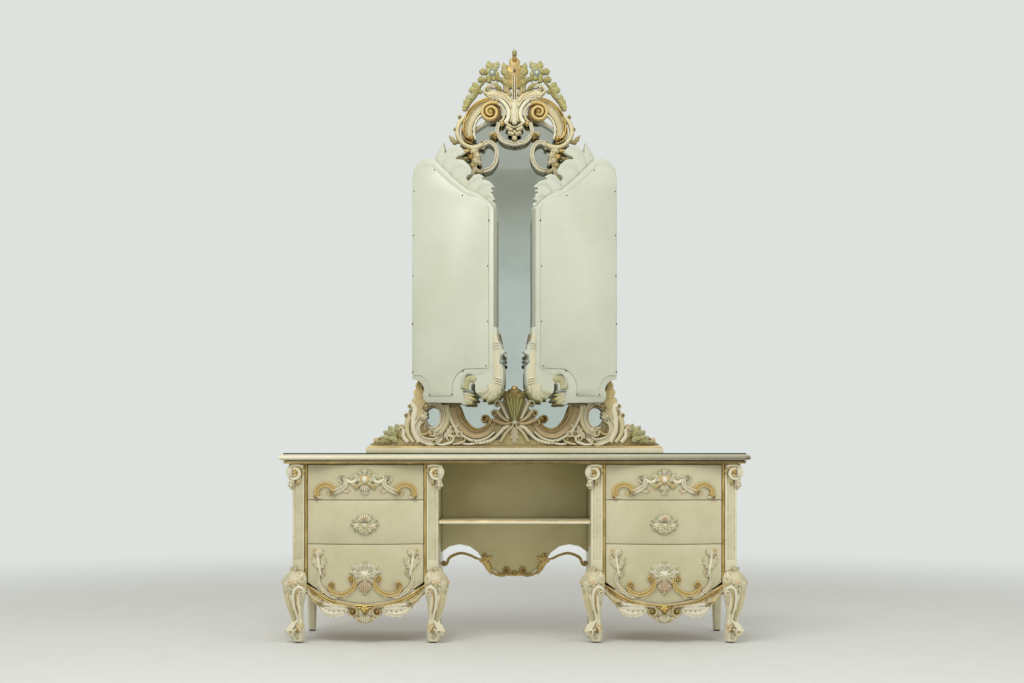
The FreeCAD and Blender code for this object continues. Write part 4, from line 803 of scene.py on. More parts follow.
def apron(centre_x):
    work = Carving(on_bow(centre_x), step=3.5, back=-6.0)
    edge = smooth_path(apron_lower_edge, 6.0)
    rings = []
    for place in edge + [Vector((-place.x, place.y)) for place in edge[-2::-1]]:
        top = max(rim_z(place.x), place.y + 6)
        scallop = 0.5 + 0.5 * math.cos(place.x * 0.42)
        low = place.y + 3.0 * scallop
        # The back and the lower edge are marked hollow: painted shade behind and under the apron
        ring = [(place.x, top, -23.0, cream, 0.0, 0.6), (place.x, top, -1.0, cream, 0.0, 0.6),
                (place.x, top - 2, 0.5, cream, 0.3, 0.3), (place.x, (top + low) / 2, -1.0, pale, 0.0, 0.1),
                (place.x, low + 4, 0.0 + scallop, ivory, 0.0, 0.5 * (1 - scallop)),
                (place.x, low, -4.0, ivory, 0.3, 0.5), (place.x, low, -23.0, cream, 0.0, 0.6)]
        rings.append(ring)
    whole = work.centred()
    whole.close(rings)
    lip = [(-240, 232), (-208, 209), (-169, 186), (-117, 165), (-56, 154), (0, 151)]
    work.band(lip, 7, 7, tint=gold)
    work.band([(x, z - 9) for x, z in lip], 6, 5, tint=cream, gilt=0.75)
    work.band([(-236, 216), (-216, 190), (-194, 174), (-178, 168)], 18, 10, rim, pale, gilt=0.7,
              tail=(11, 1.2, -1))
    work.leaf([(-228, 200), (-206, 176), (-186, 150)], 26, 8, pale, gold, tip_gilt=0.4)
    for row, width in (
            ([(-60, 146), (-104, 150), (-150, 154), (-186, 158)], 22),
            ([(-60, 138), (-104, 137), (-148, 139), (-182, 146)], 18)):
        work.leaf(row, width, 6, pale, pearl, cut=0.1, glaze_and_shade=0.4)
    for foot, tip, width in (
            ((-160, 142), (-182, 132), 22), ((-146, 136), (-169, 116), 24), ((-130, 134), (-146, 104), 26),
            ((-112, 134), (-118, 103), 26), ((-96, 134), (-92, 110), 24), ((-82, 136), (-70, 126), 20)):
        work.leaf(bowed(foot, tip), width + 7, 4, pale, pearl, lobes=1, cut=0.1, glaze_and_shade=0.3)
    work.band([(-180, 148), (-166, 129), (-142, 118), (-114, 118), (-92, 127)], 7, 7, plump, pale)
    work.band([(-76, 150), (-60, 150), (-48, 149)], 13, 11, rim, tail=(22, 1.3, -1), tint=pale, gilt=0.9)
    # Umber round the base of the curl's eye: painted shade
    work.dome((-46, 127), 9, 7, umber)
    work.leaf([(-40, 112), (-30, 98), (-14, 86)], 22, 9, pale, gold, tip_gilt=0.5)
    middle = work.centred()
    middle.dome((0, 138), 19, 12, gold, petals=6, gilt=0.9, dip=0.3)
    middle.dome((0, 130), 9, 18, gold, gilt=1.0, lift=4)
    middle.shell((0, 120), 40, 12, pale, ribs=7, spread=1.0, heading=-math.pi / 2, lift=3, rim_gilt=0.6,
                 heart=cream)
    return work


# Front legs
leg_left_edge = [(-889, 288), (-896, 282), (-909, 270), (-919, 252), (-921, 228), (-915, 189), (-905, 146),
                 (-894, 115), (-886, 89), (-892, 72), (-906, 56), (-907, 44), (-897, 26), (-889, 5)]
leg_right_edge = [(-843, 288), (-838, 276), (-833, 258), (-833, 240), (-835, 202), (-845, 150), (-848, 107),
                  (-846, 80), (-842, 50), (-842, 30), (-845, 5)]


def edge_at(outline, height):
    """Where a smooth outline stands at a height."""
    path = smooth_path(outline, 3.0)
    if height >= path[0].y:
        return path[0].x
    for upper, lower in zip(path, path[1:]):
        if lower.y <= height <= upper.y:
            return upper.x + (lower.x - upper.x) * (upper.y - height) / max(1e-6, upper.y - lower.y)
    return path[-1].x


leg_heights = [leg_low_z + leg_rise * number / leg_rows for number in range(leg_rows + 1)]
leg_outer = [edge_at(leg_left_edge, height) for height in leg_heights]
leg_inner = [edge_at(leg_right_edge, height) for height in leg_heights]


def leg_faces(height):
    share = min(1.0, max(0.0, (height - leg_low_z) / leg_rise)) * leg_rows
    row = min(leg_rows - 1, int(share))
    part = share - row
    outer = leg_outer[row] * (1 - part) + leg_outer[row + 1] * part
    inner = leg_inner[row] * (1 - part) + leg_inner[row + 1] * part
    return outer, inner


def leg_surface(across, up):
    """How far back the rounded face lies at a place on it."""
    outer, inner = leg_faces(up)
    middle, half = (outer + inner) / 2, (inner - outer) / 2
    share = min(0.985, abs(across - middle) / half)
    drop = half * (1 - (1 - share ** leg_squareness) ** (1 / leg_squareness))
    return post_front_y + (outer + post_outer_x) + drop


def leg_front(across, up, out):
    return (across, leg_surface(across, up) - out, up)


def leg_side(across, up, out):
    turned_x = -post_outer_x + (leg_surface(across, up) - post_front_y) - out
    return (turned_x, post_front_y + (across + post_outer_x), up)


def flipped(place, planes):
    """A place function for the form's mirror image in upright planes, one after the other."""
    def placed(across, up, out):
        x, y, z = place(across, up, out)
        for plane in planes:
            x = 2 * plane - x
        return (x, y, z)
    return placed


def leg_body(work):
    rings = []
    for row, height in enumerate(leg_heights):
        outer, inner = leg_outer[row], leg_inner[row]
        half = (inner - outer) / 2
        middle = (outer + inner) / 2
        ring = []
        for number in range(leg_sides):
            angle = math.tau * number / leg_sides
            cosine, sine = math.cos(angle), math.sin(angle)
            bulk = abs(cosine) ** leg_squareness + abs(sine) ** leg_squareness
            reach = half / bulk ** (1 / leg_squareness)
            x = middle + reach * cosine
            y = post_front_y + post_outer_x + middle + reach * sine
            # A dark line along each rounded corner of the leg is painted shade, as of grooves that the body
            # does not have
            groove_shade_line = 0.5 if abs(abs(cosine) - abs(sine)) < 0.2 else 0.0
            ring.append((x, y, height, pale, 0.0, groove_shade_line))
        rings.append(ring)
    work.close(rings)


def leg_carving(work):
    # Scroll that opens at the knee and runs down as a ridge
    work.band([(-839, 208), (-846, 222), (-862, 227), (-877, 214), (-882, 185), (-879, 150), (-872, 115),
               (-866, 82)], 14, 9, plump, pale, gilt=0.1, head=(11, 1.4, -1), taper=(1.0, 0.6))
    work.dome((-849, 205), 6, 13, gold, gilt=0.8)
    work.band([(-862, 212), (-870, 194), (-870, 155), (-862, 118)], 6, 5, tint=gold, gilt=0.6,
              taper=(1.0, 0.5))
    work.band([(-907, 196), (-904, 165), (-895, 130), (-882, 86)], 12, 8, plump, cream, taper=(1.0, 0.5))
    work.leaf([(-900, 250), (-913, 224), (-907, 188)], 28, 7, pale, cream, rim_gilt=0.2)
    work.leaf([(-866, 250), (-850, 246), (-838, 226)], 24, 9, pale, gold, tip_gilt=0.5)
    work.leaf([(-856, 196), (-850, 176), (-852, 152)], 18, 6, pale, cream)
    # Rose and crown of leaves
    for tip, width in (
            ((-908, 274), 26), ((-897, 304), 28), ((-874, 302), 26), ((-856, 290), 26), ((-841, 262), 24)):
        work.leaf([(-881, 250), ((tip[0] - 881) / 2, (tip[1] + 256) / 2), tip], width, 8, pale, cream, curl=3,
                  rim_gilt=0.25)
    work.dome((-884, 245), 22, 10, cream, petals=5, cut=0.35, gilt=0.35, dip=0.4, lift=1)
    work.dome((-884, 245), 12, 13, rose, petals=5, cut=0.3, dip=0.3, lift=2)
    # Scrolled foot
    work.band([(-866, 92), (-880, 80), (-898, 68), (-906, 52)], 17, 9, plump, pale, tail=(15, 1.35, 1),
              taper=(0.6, 1.0))
    work.dome((-893, 46), 6, 13, gold, gilt=0.9)
    work.band([(-880, 70), (-864, 68), (-856, 56)], 12, 8, rim, pale, gilt=0.8, tail=(11, 1.3, -1))
    work.leaf([(-874, 78), (-856, 74), (-846, 58)], 18, 6, pale, gold, tip_gilt=0.6)
    work.leaf([(-872, 40), (-870, 28), (-868, 14)], 22, 5, pale, cream)


def front_leg(flips):
    """A leg; flips are the upright planes that bring it to its place."""
    front = Carving(flipped(leg_front, flips), back=-3.0, base=0.5, sides=(1,), step=3.0)
    leg_body(front.sharing(place=flipped(lambda x, y, z: (x, y, z), flips)))
    leg_carving(front)
    leg_carving(front.sharing(place=flipped(leg_side, flips)))
    return front


# Capitals under the table edge
def capital_carving(work):
    work.dome((-880, 681), 30, 4, straw, lift=-1)
    work.band([(-846, 706), (-862, 711), (-880, 711)], 14, 10, plump, pale, tail=(30, 1.7, 1), lift=4)
    work.band([(-850, 697), (-864, 701), (-879, 701)], 6, 12, plump, gold, gilt=0.9, tail=(21, 1.3, 1),
              lift=3)
    work.dome((-881, 682), 8, 14, gold, gilt=0.7, lift=4)
    work.leaf([(-886, 660), (-892, 638), (-889, 614)], 34, 11, pale, cream, rim_gilt=0.25)
    work.leaf([(-872, 668), (-866, 650), (-868, 632)], 20, 8, ivory, gold, tip_gilt=0.7)
    work.leaf([(-852, 706), (-846, 690), (-848, 676)], 16, 8, cream, gold, tip_gilt=0.8)


def capitals():
    """All four capitals, on the front and outer faces of their posts."""
    def on_front(across, up, out):
        return (across, post_front_y - out, up)

    def on_side(across, up, out):
        return (-post_outer_x - out, post_front_y + (across + post_outer_x), up)
    whole = Carving(on_front, base=2.0, sides=(1,), step=3.0)
    for flips in ((), (-pedestal_centre_x,), (0.0,), (-pedestal_centre_x, 0.0)):
        for face, back in ((on_front, -30.0), (on_side, -2.0)):
            capital_carving(whole.sharing(place=flipped(face, flips), back=back))
    return whole


# Kneehole panel trim
def kneehole_trim():
    work = Carving(lambda across, up, out: (across, kneehole_panel_y - out, up), base=0.5, step=4.0)
    work.band([(-284, 296), (-270, 324), (-228, 341), (-190, 334), (-158, 319)], 13, 9, rim,
              head=(11, 1.3, -1), tint=gold, taper=(1.0, 0.8))
    work.band([(-158, 319), (-138, 316), (-122, 326)], 9, 8, tail=(8, 1.2, 1), tint=gold)
    work.leaf([(-150, 318), (-122, 300), (-104, 272), (-96, 250)], 34, 10, gold, cream, lobes=6, gilt=0.8)
    work.leaf([(-136, 322), (-112, 318), (-92, 330)], 20, 9, gold, cream, lobes=4, gilt=0.8)
    work.band([(-108, 278), (-84, 256), (-52, 248), (-30, 256)], 12, 9, rim, tail=(14, 1.3, 1), tint=gold)
    middle = work.centred()
    middle.band([(-30, 258), (0, 250), (30, 258)], 10, 8, tint=gold)
    middle.dome((0, 262), 9, 9, gold, gilt=1.0)
    return work


# Carved base under the mirror
def on_mirror(across, up, out):
    return (across, mirror_front_y - out, up)


def sawn_board(name, outline, holes, place, low, high, ease, body, material, step=6.0):
    """A sawn board between two depths, with smooth eased edges and openings."""
    curve = bpy.data.curves.new(name + "_outline", "CURVE")
    curve.dimensions = "2D"
    curve.fill_mode = "BOTH"
    for loop in [outline] + holes:
        path = smooth_path(loop + loop[:1], step)[:-1]
        spline = curve.splines.new("POLY")
        spline.points.add(len(path) - 1)
        for point, spot in zip(spline.points, path):
            point.co = (spot.x, spot.y, 0.0, 1.0)
        spline.use_cyclic_u = True
    curve.extrude = (high - low) / 2 - ease
    curve.bevel_depth = ease
    curve.offset = -ease
    curve.bevel_resolution = 2
    shape = link(name + "_outline", curve)
    bpy.context.view_layer.update()
    mesh = bpy.data.meshes.new_from_object(shape.evaluated_get(bpy.context.evaluated_depsgraph_get()))
    bpy.data.objects.remove(shape)
    for vertex in mesh.vertices:
        across, up, out = vertex.co
        vertex.co = [number * mm for number in place(across, up, (low + high) / 2 + out)]
    tidy = bmesh.new()
    tidy.from_mesh(mesh)
    bmesh.ops.remove_doubles(tidy, verts=tidy.verts, dist=join_distance)
    bmesh.ops.recalc_face_normals(tidy, faces=tidy.faces)
    tidy.to_mesh(mesh)
    tidy.free()
    mesh.materials.clear()
    mesh.materials.append(material)
    mesh.name = name
    add_piece(name, mesh, body)


def oval(centre, half_wide, half_high):
    angles = [math.tau * number / 12 for number in range(12)]
    return [(centre[0] + half_wide * math.cos(angle), centre[1] + half_high * math.sin(angle))
            for angle in angles]


base_half_outline = [(0, 790), (-300, 790), (-592, 790), (-590, 808), (-548, 836), (-500, 858), (-462, 866),
                     (-446, 900), (-448, 940), (-428, 950), (-416, 1000), (-404, 1050), (-396, 1000),
                     (-394, 962), (-340, 972), (-300, 968), (-252, 968), (-230, 960), (-206, 902),
                     (-176, 868), (-138, 862), (-104, 884), (-84, 912), (-66, 940), (-52, 975), (-42, 1005),
                     (-26, 1028), (0, 1034)]


def base_carving():
    work = Carving(on_mirror, back=4.0, base=15.0, step=4.0)
    # Gold-edged sweep between the palmette and the wing
    work.band([(-92, 886), (-118, 850), (-166, 838), (-206, 858), (-240, 898), (-260, 956)], 42, 13, cove,
              blush, gilt=0.25, taper=(0.7, 1.1))
    work.band([(-108, 892), (-122, 872), (-150, 860), (-180, 868), (-206, 895), (-227, 932), (-238, 964)], 10,
              18, tint=gold, head=(19, 1.4, 1))
    work.band([(-84, 850), (-120, 822), (-168, 811), (-214, 830), (-252, 868), (-278, 925), (-284, 964)], 14,
              17, plump, pale, taper=(0.8, 1.1))
    # Frame of the oval opening
    work.band([(-372, 968), (-338, 976), (-312, 950), (-304, 912), (-314, 876), (-344, 856), (-372, 862)], 25,
              17, rim, pale, gilt=0.3, head=(12, 1.2, 1), tail=(11, 1.1, -1))
    work.band([(-296, 966), (-285, 925), (-288, 885), (-312, 848), (-342, 834)], 23, 15, plump, cream,
              tail=(14, 1.3, -1))
    work.dome((-371, 958), 14, 18, gold, gilt=1.0)
    work.band([(-398, 904), (-414, 868), (-404, 830), (-372, 810), (-334, 810), (-312, 828)], 30, 17, rim,
              pale, gilt=0.35, tail=(13, 1.3, 1), head=(10, 1.1, -1))
    # Upright stems and leaves at the outer shoulder
    work.leaf([(-404, 896), (-404, 960), (-402, 1010), (-408, 1066)], 67, 15, cream, gold, lobes=4,
              tip_gilt=0.6)
    work.leaf([(-398, 880), (-384, 912), (-372, 936)], 38, 17, pale, cream)
    work.band([(-404, 804), (-426, 850), (-428, 900), (-420, 945), (-432, 964)], 28, 16, plump, pale,
              tail=(12, 1.1, 1), taper=(0.7, 1.0))
    work.band([(-426, 804), (-450, 838), (-455, 880), (-446, 914)], 25, 15, plump, cream, tail=(12, 1.2, 1),
              taper=(0.7, 1.0))
    work.band([(-450, 804), (-470, 830), (-470, 858)], 20, 14, plump, pale, tail=(10, 1.2, 1))
    # Green foliage that runs out along the plinth
    for foot, tip, width, tone in (
            ((-500, 824), (-556, 850), 36, olive), ((-498, 826), (-534, 874), 36, sage),
            ((-494, 830), (-500, 884), 34, olive), ((-506, 816), (-574, 824), 32, sage),
            ((-520, 804), (-590, 804), 26, olive), ((-486, 822), (-470, 866), 28, straw)):
        work.leaf(bowed(foot, tip, up=5), width, 15, tone, sea_green, curl=4)
    work.dome((-480, 868), 15, 17, blush, petals=5, gilt=0.3, dip=0.3)
    work.dome((-584, 812), 14, 14, blush, petals=5, gilt=0.3)
    work.leaf([(-496, 806), (-512, 822), (-516, 842)], 44, 19, sea_green, sage)
    # Curled leaves along the floor of the carving
    for row, width, curl, tone in (
            ([(-330, 798), (-300, 794), (-268, 806)], 17, (17, 1.3, 1), pale),
            ([(-286, 842), (-268, 828), (-248, 832)], 15, (12, 1.2, 1), cream),
            ([(-236, 884), (-250, 862), (-244, 838)], 14, (13, 1.3, 1), pale),
            ([(-262, 796), (-236, 800), (-214, 810)], 15, (11, 1.2, 1), cream),
            ([(-222, 800), (-196, 796), (-172, 800)], 14, (10, 1.1, 1), pale),
            ([(-378, 796), (-352, 792), (-336, 798)], 14, (10, 1.2, 1), cream),
            ([(-404, 846), (-384, 838), (-366, 846)], 13, (10, 1.2, 1), straw)):
        work.band(row, width, 17, plump, tone, tail=curl, taper=(0.6, 1.0))
    work.leaf([(-352, 840), (-326, 858), (-306, 866)], 38, 18, cream, pale)
    work.leaf([(-300, 820), (-276, 850), (-268, 880)], 38, 16, pale, cream)
    work.beads([(-160, 804), (-132, 806), (-104, 812)], 10, 14, 14, pale)
    # Palmette
    for row, tone in (
            ([(-26, 902), (-46, 944), (-60, 974)], pale), ([(-24, 892), (-54, 912), (-74, 936)], cream),
            ([(-18, 884), (-54, 886), (-86, 900)], blush)):
        work.band(row, 19, 18, plump, tone, tail=(14, 1.2, 1), taper=(0.6, 1.0))
    work.leaf([(-12, 976), (-28, 1002), (-42, 1022)], 32, 22, olive, gold, tip_gilt=0.7)
    work.band([(-12, 876), (-40, 868), (-62, 846), (-96, 816), (-150, 800)], 20, 14, plump, pale,
              taper=(1.0, 0.6))
    work.band([(-10, 870), (-34, 848), (-60, 806)], 15, 15, plump, cream, head=(12, 1.2, 1))
    middle = work.centred()
    middle.shell((0, 876), 148, 17, sage, ribs=5, spread=0.34, lift=4, rim_gilt=0.7)
    middle.leaf([(0, 976), (0, 1015), (0, 1046)], 50, 24, olive, gold, tip_gilt=0.8, foot=0.7)
    middle.band([(0, 892), (0, 930), (0, 972)], 9, 26, plump, sea_green, taper=(1.0, 0.6))
    middle.dome((0, 890), 12, 26, pale, gilt=0.1)
    middle.leaf([(0, 872), (0, 838), (0, 800)], 50, 15, cream, pale)
    return work


def crest():
    work = Carving(on_mirror, back=0.0, base=15.0, step=4.0)
    # Great C-scrolls with their gilt rims and volutes
    work.band([(-88, 2232), (-125, 2232), (-158, 2212), (-182, 2178), (-195, 2140), (-193, 2108),
               (-178, 2092)], 48, 12, cove, cream, gilt=0.9, taper=(1.0, 0.62))
    work.band([(-60, 2250), (-98, 2260), (-137, 2253), (-176, 2227), (-204, 2188), (-217, 2135), (-208, 2100),
               (-188, 2088)], 10, 18, rib, gold)
    work.band([(-124, 2194), (-152, 2178), (-168, 2148), (-171, 2112), (-166, 2086)], 10, 15, plump, pale)
    # A flat umber disc sunk behind the volute: painted shade inside its curl
    work.dome((-92, 2198), 38, 5, umber, lift=-2)
    work.band([(-70, 2238), (-92, 2242), (-112, 2237)], 15, 20, plump, gold, gilt=1.0, tail=(38, 1.6, 1),
              lift=4)
    work.dome((-101, 2199), 14, 30, gold, gilt=1.0)
    work.dome((-182, 2090), 11, 20, gold, gilt=1.0, lift=4)
    work.leaf([(-60, 2250), (-88, 2258), (-114, 2244)], 26, 24, pale, cream)
    # Stems that sweep up beside the volutes
    work.band([(-90, 2262), (-54, 2250), (-28, 2216), (-26, 2180), (-42, 2154)], 19, 18, plump, pale)
    work.band([(-78, 2240), (-54, 2224), (-44, 2198), (-48, 2172), (-62, 2160)], 11, 15, plump, cream)
    work.band([(-12, 2260), (-14, 2215), (-12, 2176), (-18, 2160)], 11, 15, plump, cream)
    work.dome((-54, 2154), 11, 20, gold, gilt=0.6)
    # Arms that spring from the stem
    work.band([(-8, 2226), (-34, 2262), (-74, 2279), (-112, 2278)], 32, 19, plump, cream, gilt=0.0,
              tail=(17, 1.1, -1), taper=(0.9, 1.0))
    work.band([(-16, 2240), (-44, 2272), (-82, 2290)], 9, 23, plump, blush)
    work.band([(-12, 2216), (-38, 2252), (-80, 2266), (-112, 2262)], 8, 23, plump, pale)
    work.leaf([(-52, 2290), (-76, 2312), (-106, 2322)], 30, 22, olive, sage)
    work.leaf([(-78, 2304), (-104, 2312), (-128, 2296)], 24, 24, pale, pearl)
    # Vine, flower and sprigs
    work.band([(-96, 2360), (-124, 2336), (-148, 2306), (-160, 2276), (-186, 2244), (-206, 2214)], 8, 16,
              plump, olive)
    work.band([(-34, 2318), (-60, 2336), (-90, 2352)], 8, 15, plump, olive)
    for foot, tip, width, tone in (
            ((-100, 2372), (-110, 2418), 34, sage), ((-88, 2372), (-66, 2414), 32, sea_green),
            ((-94, 2376), (-88, 2408), 26, sage), ((-106, 2368), (-150, 2374), 34, olive),
            ((-84, 2358), (-62, 2336), 28, olive), ((-100, 2352), (-110, 2328), 30, sage),
            ((-118, 2338), (-156, 2338), 32, olive), ((-124, 2330), (-140, 2352), 24, sage),
            ((-146, 2300), (-178, 2326), 30, sage), ((-150, 2296), (-194, 2294), 34, sage),
            ((-150, 2292), (-176, 2270), 28, olive), ((-150, 2304), (-142, 2282), 24, olive),
            ((-170, 2262), (-206, 2262), 32, sea_green), ((-182, 2250), (-214, 2234), 34, sage),
            ((-188, 2242), (-216, 2208), 32, sage), ((-176, 2258), (-170, 2284), 24, sea_green)):
        work.leaf(bowed(foot, tip, across=-2, up=3), width, 16, tone, sage, cut=0.32, curl=5, glaze_and_shade=0.9)
    work.dome((-94, 2364), 30, 18, sage, petals=5, cut=0.35, lift=4)
    work.dome((-94, 2365), 22, 25, slate_blue, petals=5, cut=0.25, dip=0.3, lift=5)
    work.dome((-94, 2365), 9, 30, pearl, lift=6)
    # Leaves beside the finial
    work.leaf([(-14, 2330), (-34, 2366), (-47, 2412)], 44, 19, olive, sage, rim_gilt=0.2)
    work.leaf([(-12, 2300), (-38, 2330), (-54, 2352)], 34, 18, olive, sage)
    work.leaf([(-12, 2270), (-34, 2296), (-42, 2322)], 34, 17, blush, olive)
    # U-shaped cup with its drops, and the loop below the C-scroll
    work.band([(-66, 2160), (-73, 2118), (-48, 2080), (2, 2066)], 16, 16, rim, pale, gilt=0.0)
    work.dome((-82, 2104), 13, 20, gold, gilt=0.9, petals=5)
    work.leaf([(-76, 2112), (-94, 2112), (-108, 2100)], 18, 14, cream, gold, tip_gilt=0.6)
    work.band([(-136, 2062), (-108, 2076), (-80, 2054), (-76, 2006), (-98, 1966), (-134, 1952)], 17, 16, rim,
              pale, gilt=0.0, head=(9, 1.0, 1))
    work.beads([(-30, 2136), (-14, 2128)], 9, 16, 20, cream)
    work.beads([(-22, 2114), (-8, 2110)], 8, 13, 19, cream)
    work.band([(-36, 2158), (-26, 2144), (-4, 2138)], 9, 19, tint=cream, gilt=0.1)
    # Outer scrolls and trailing clusters
    work.band([(-216, 2176), (-236, 2150), (-242, 2112), (-226, 2078), (-196, 2056), (-160, 2054),
               (-136, 2066)], 20, 16, plump, cream, gilt=0.1, head=(9, 1.1, -1), tail=(8, 1.1, 1))
    work.band([(-222, 2136), (-222, 2106), (-204, 2078), (-178, 2068)], 7, 19, tint=gold)
    work.dome((-232, 2182), 8, 18, olive)
    work.dome((-252, 2130), 7, 16, olive)
    work.leaf([(-226, 2084), (-252, 2078), (-278, 2104)], 26, 15, olive, straw, lobes=4)
    work.leaf([(-196, 2010), (-226, 2000), (-256, 2010)], 28, 15, olive, straw, lobes=4)
    work.leaf([(-186, 2040), (-214, 2036), (-232, 2048)], 24, 15, gold, cream, lobes=4, gilt=0.6)
    for centre, radius, tone, gilt in (
            ((-172, 2040), 20, cream, 0.2), ((-158, 2018), 16, cream, 0.2), ((-184, 2012), 16, gold, 0.8),
            ((-166, 1996), 17, cream, 0.1), ((-150, 1988), 12, cream, 0.3), ((-178, 1976), 14, straw, 0.5)):
        work.dome(centre, radius, 19, tone, petals=5, cut=0.3, gilt=gilt, dip=0.25)
    work.leaf([(-170, 2056), (-164, 2010), (-176, 1960)], 44, 12, cream, straw, lobes=6, rim_gilt=0.4)
    work.leaf([(-160, 1970), (-182, 1938), (-202, 1892)], 42, 15, cream, olive, lobes=6)
    work.dome((-203, 1896), 12, 20, straw)
    work.leaf([(-168, 1966), (-150, 1952), (-130, 1952)], 22, 14, cream, straw, lobes=4)
    # Finial
    middle = work.centred()
    middle.leaf([(0, 2290), (0, 2340), (0, 2390), (0, 2440)], 84, 20, gold_deep, gold, gilt=0.5, foot=0.75)
    middle.band([(0, 2150), (0, 2185), (0, 2215), (0, 2255)], 18, 22, plump, pale, taper=(1.2, 1.7))
    middle.band([(0, 2240), (0, 2300), (0, 2350), (0, 2400)], 24, 24, rim, cream, gilt=0.1, taper=(1.0, 0.6))
    middle.band([(0, 2146), (0, 2240), (0, 2350)], 6, 28, plump, pale)
    middle.dome((0, 2374), 7, 30, umber, stretch=1.5)
    middle.dome((0, 2424), 13, 24, gold, gilt=1.0, stretch=1.3, petals=5)
    middle.dome((0, 2446), 10, 22, olive)
    middle.dome((0, 2458), 11, 20, sea_green, petals=4)
    middle.dome((0, 2093), 11, 18, cream)
    middle.dome((0, 2118), 9, 20, cream)
    middle.band([(-34, 2156), (0, 2136), (34, 2156)], 8, 19, tint=cream, gilt=0.1)
    return work


# Wing carvings, in the wing's own plane: across from the hinge pin, out from its back
def wing_place(side):
    cosine, sine = math.cos(wing_rest_angle), math.sin(wing_rest_angle)

    def placed(across, up, out):
        back = wing_back_y - out - wing_pin[1]
        x = -wing_pin[0] + cosine * across + sine * back
        y = wing_pin[1] - sine * across + cosine * back
        return (side * -x, y, up)
    return placed


corner_shift = (0.045, -0.008)


def wing_path(*shares, shift=(0.0, 0.0)):
    """Places on a wing from shares of its width and height."""
    return [((u + shift[0]) * wing_width, wing_low_z + (v + shift[1]) * wing_height) for u, v in shares]


def corner_path(*shares):
    return wing_path(*shares, shift=corner_shift)


# Outlines in shares of the wing's width from the pin and of its height
wing_crown_shares = [(0.20, 0.955), (0.24, 0.985), (0.27, 1.005), (0.31, 1.018), (0.335, 1.035),
                     (0.352, 1.068), (0.375, 1.045), (0.385, 1.020), (0.41, 1.022), (0.44, 1.040),
                     (0.49, 1.052), (0.54, 1.050), (0.59, 1.038), (0.612, 1.022), (0.585, 1.012),
                     (0.545, 1.008), (0.51, 0.998), (0.53, 0.996), (0.58, 0.993), (0.63, 0.982),
                     (0.675, 0.965), (0.70, 0.945), (0.69, 0.930), (0.665, 0.928), (0.64, 0.915),
                     (0.665, 0.905), (0.70, 0.905), (0.735, 0.918), (0.775, 0.930), (0.82, 0.926),
                     (0.845, 0.917), (0.83, 0.908), (0.865, 0.905), (0.91, 0.897), (0.945, 0.886),
                     (0.978, 0.874), (0.94, 0.868), (0.965, 0.858), (0.935, 0.848), (0.955, 0.838),
                     (0.985, 0.824), (0.955, 0.816), (0.985, 0.806), (0.99, 0.785), (0.93, 0.79),
                     (0.80, 0.825), (0.62, 0.86), (0.42, 0.92)]
wing_corner_shares = [(0.62, 0.135), (0.72, 0.135), (0.85, 0.140), (0.92, 0.16), (0.93, 0.20), (0.93, 0.30),
                      (1.03, 0.30), (1.04, 0.262), (1.055, 0.25), (1.07, 0.238), (1.09, 0.226), (1.10, 0.212),
                      (1.13, 0.206), (1.122, 0.197), (1.085, 0.190), (1.078, 0.172), (1.095, 0.152),
                      (1.111, 0.134), (1.112, 0.10), (1.102, 0.072), (1.075, 0.048), (1.041, 0.031),
                      (0.98, 0.021), (0.92, 0.020), (0.847, 0.025), (0.80, 0.037), (0.782, 0.047),
                      (0.775, 0.060), (0.778, 0.072), (0.762, 0.078), (0.737, 0.074), (0.728, 0.060),
                      (0.735, 0.045), (0.745, 0.031), (0.735, 0.015), (0.738, 0.004), (0.69, -0.004),
                      (0.63, -0.006), (0.58, 0.02), (0.58, 0.09)]


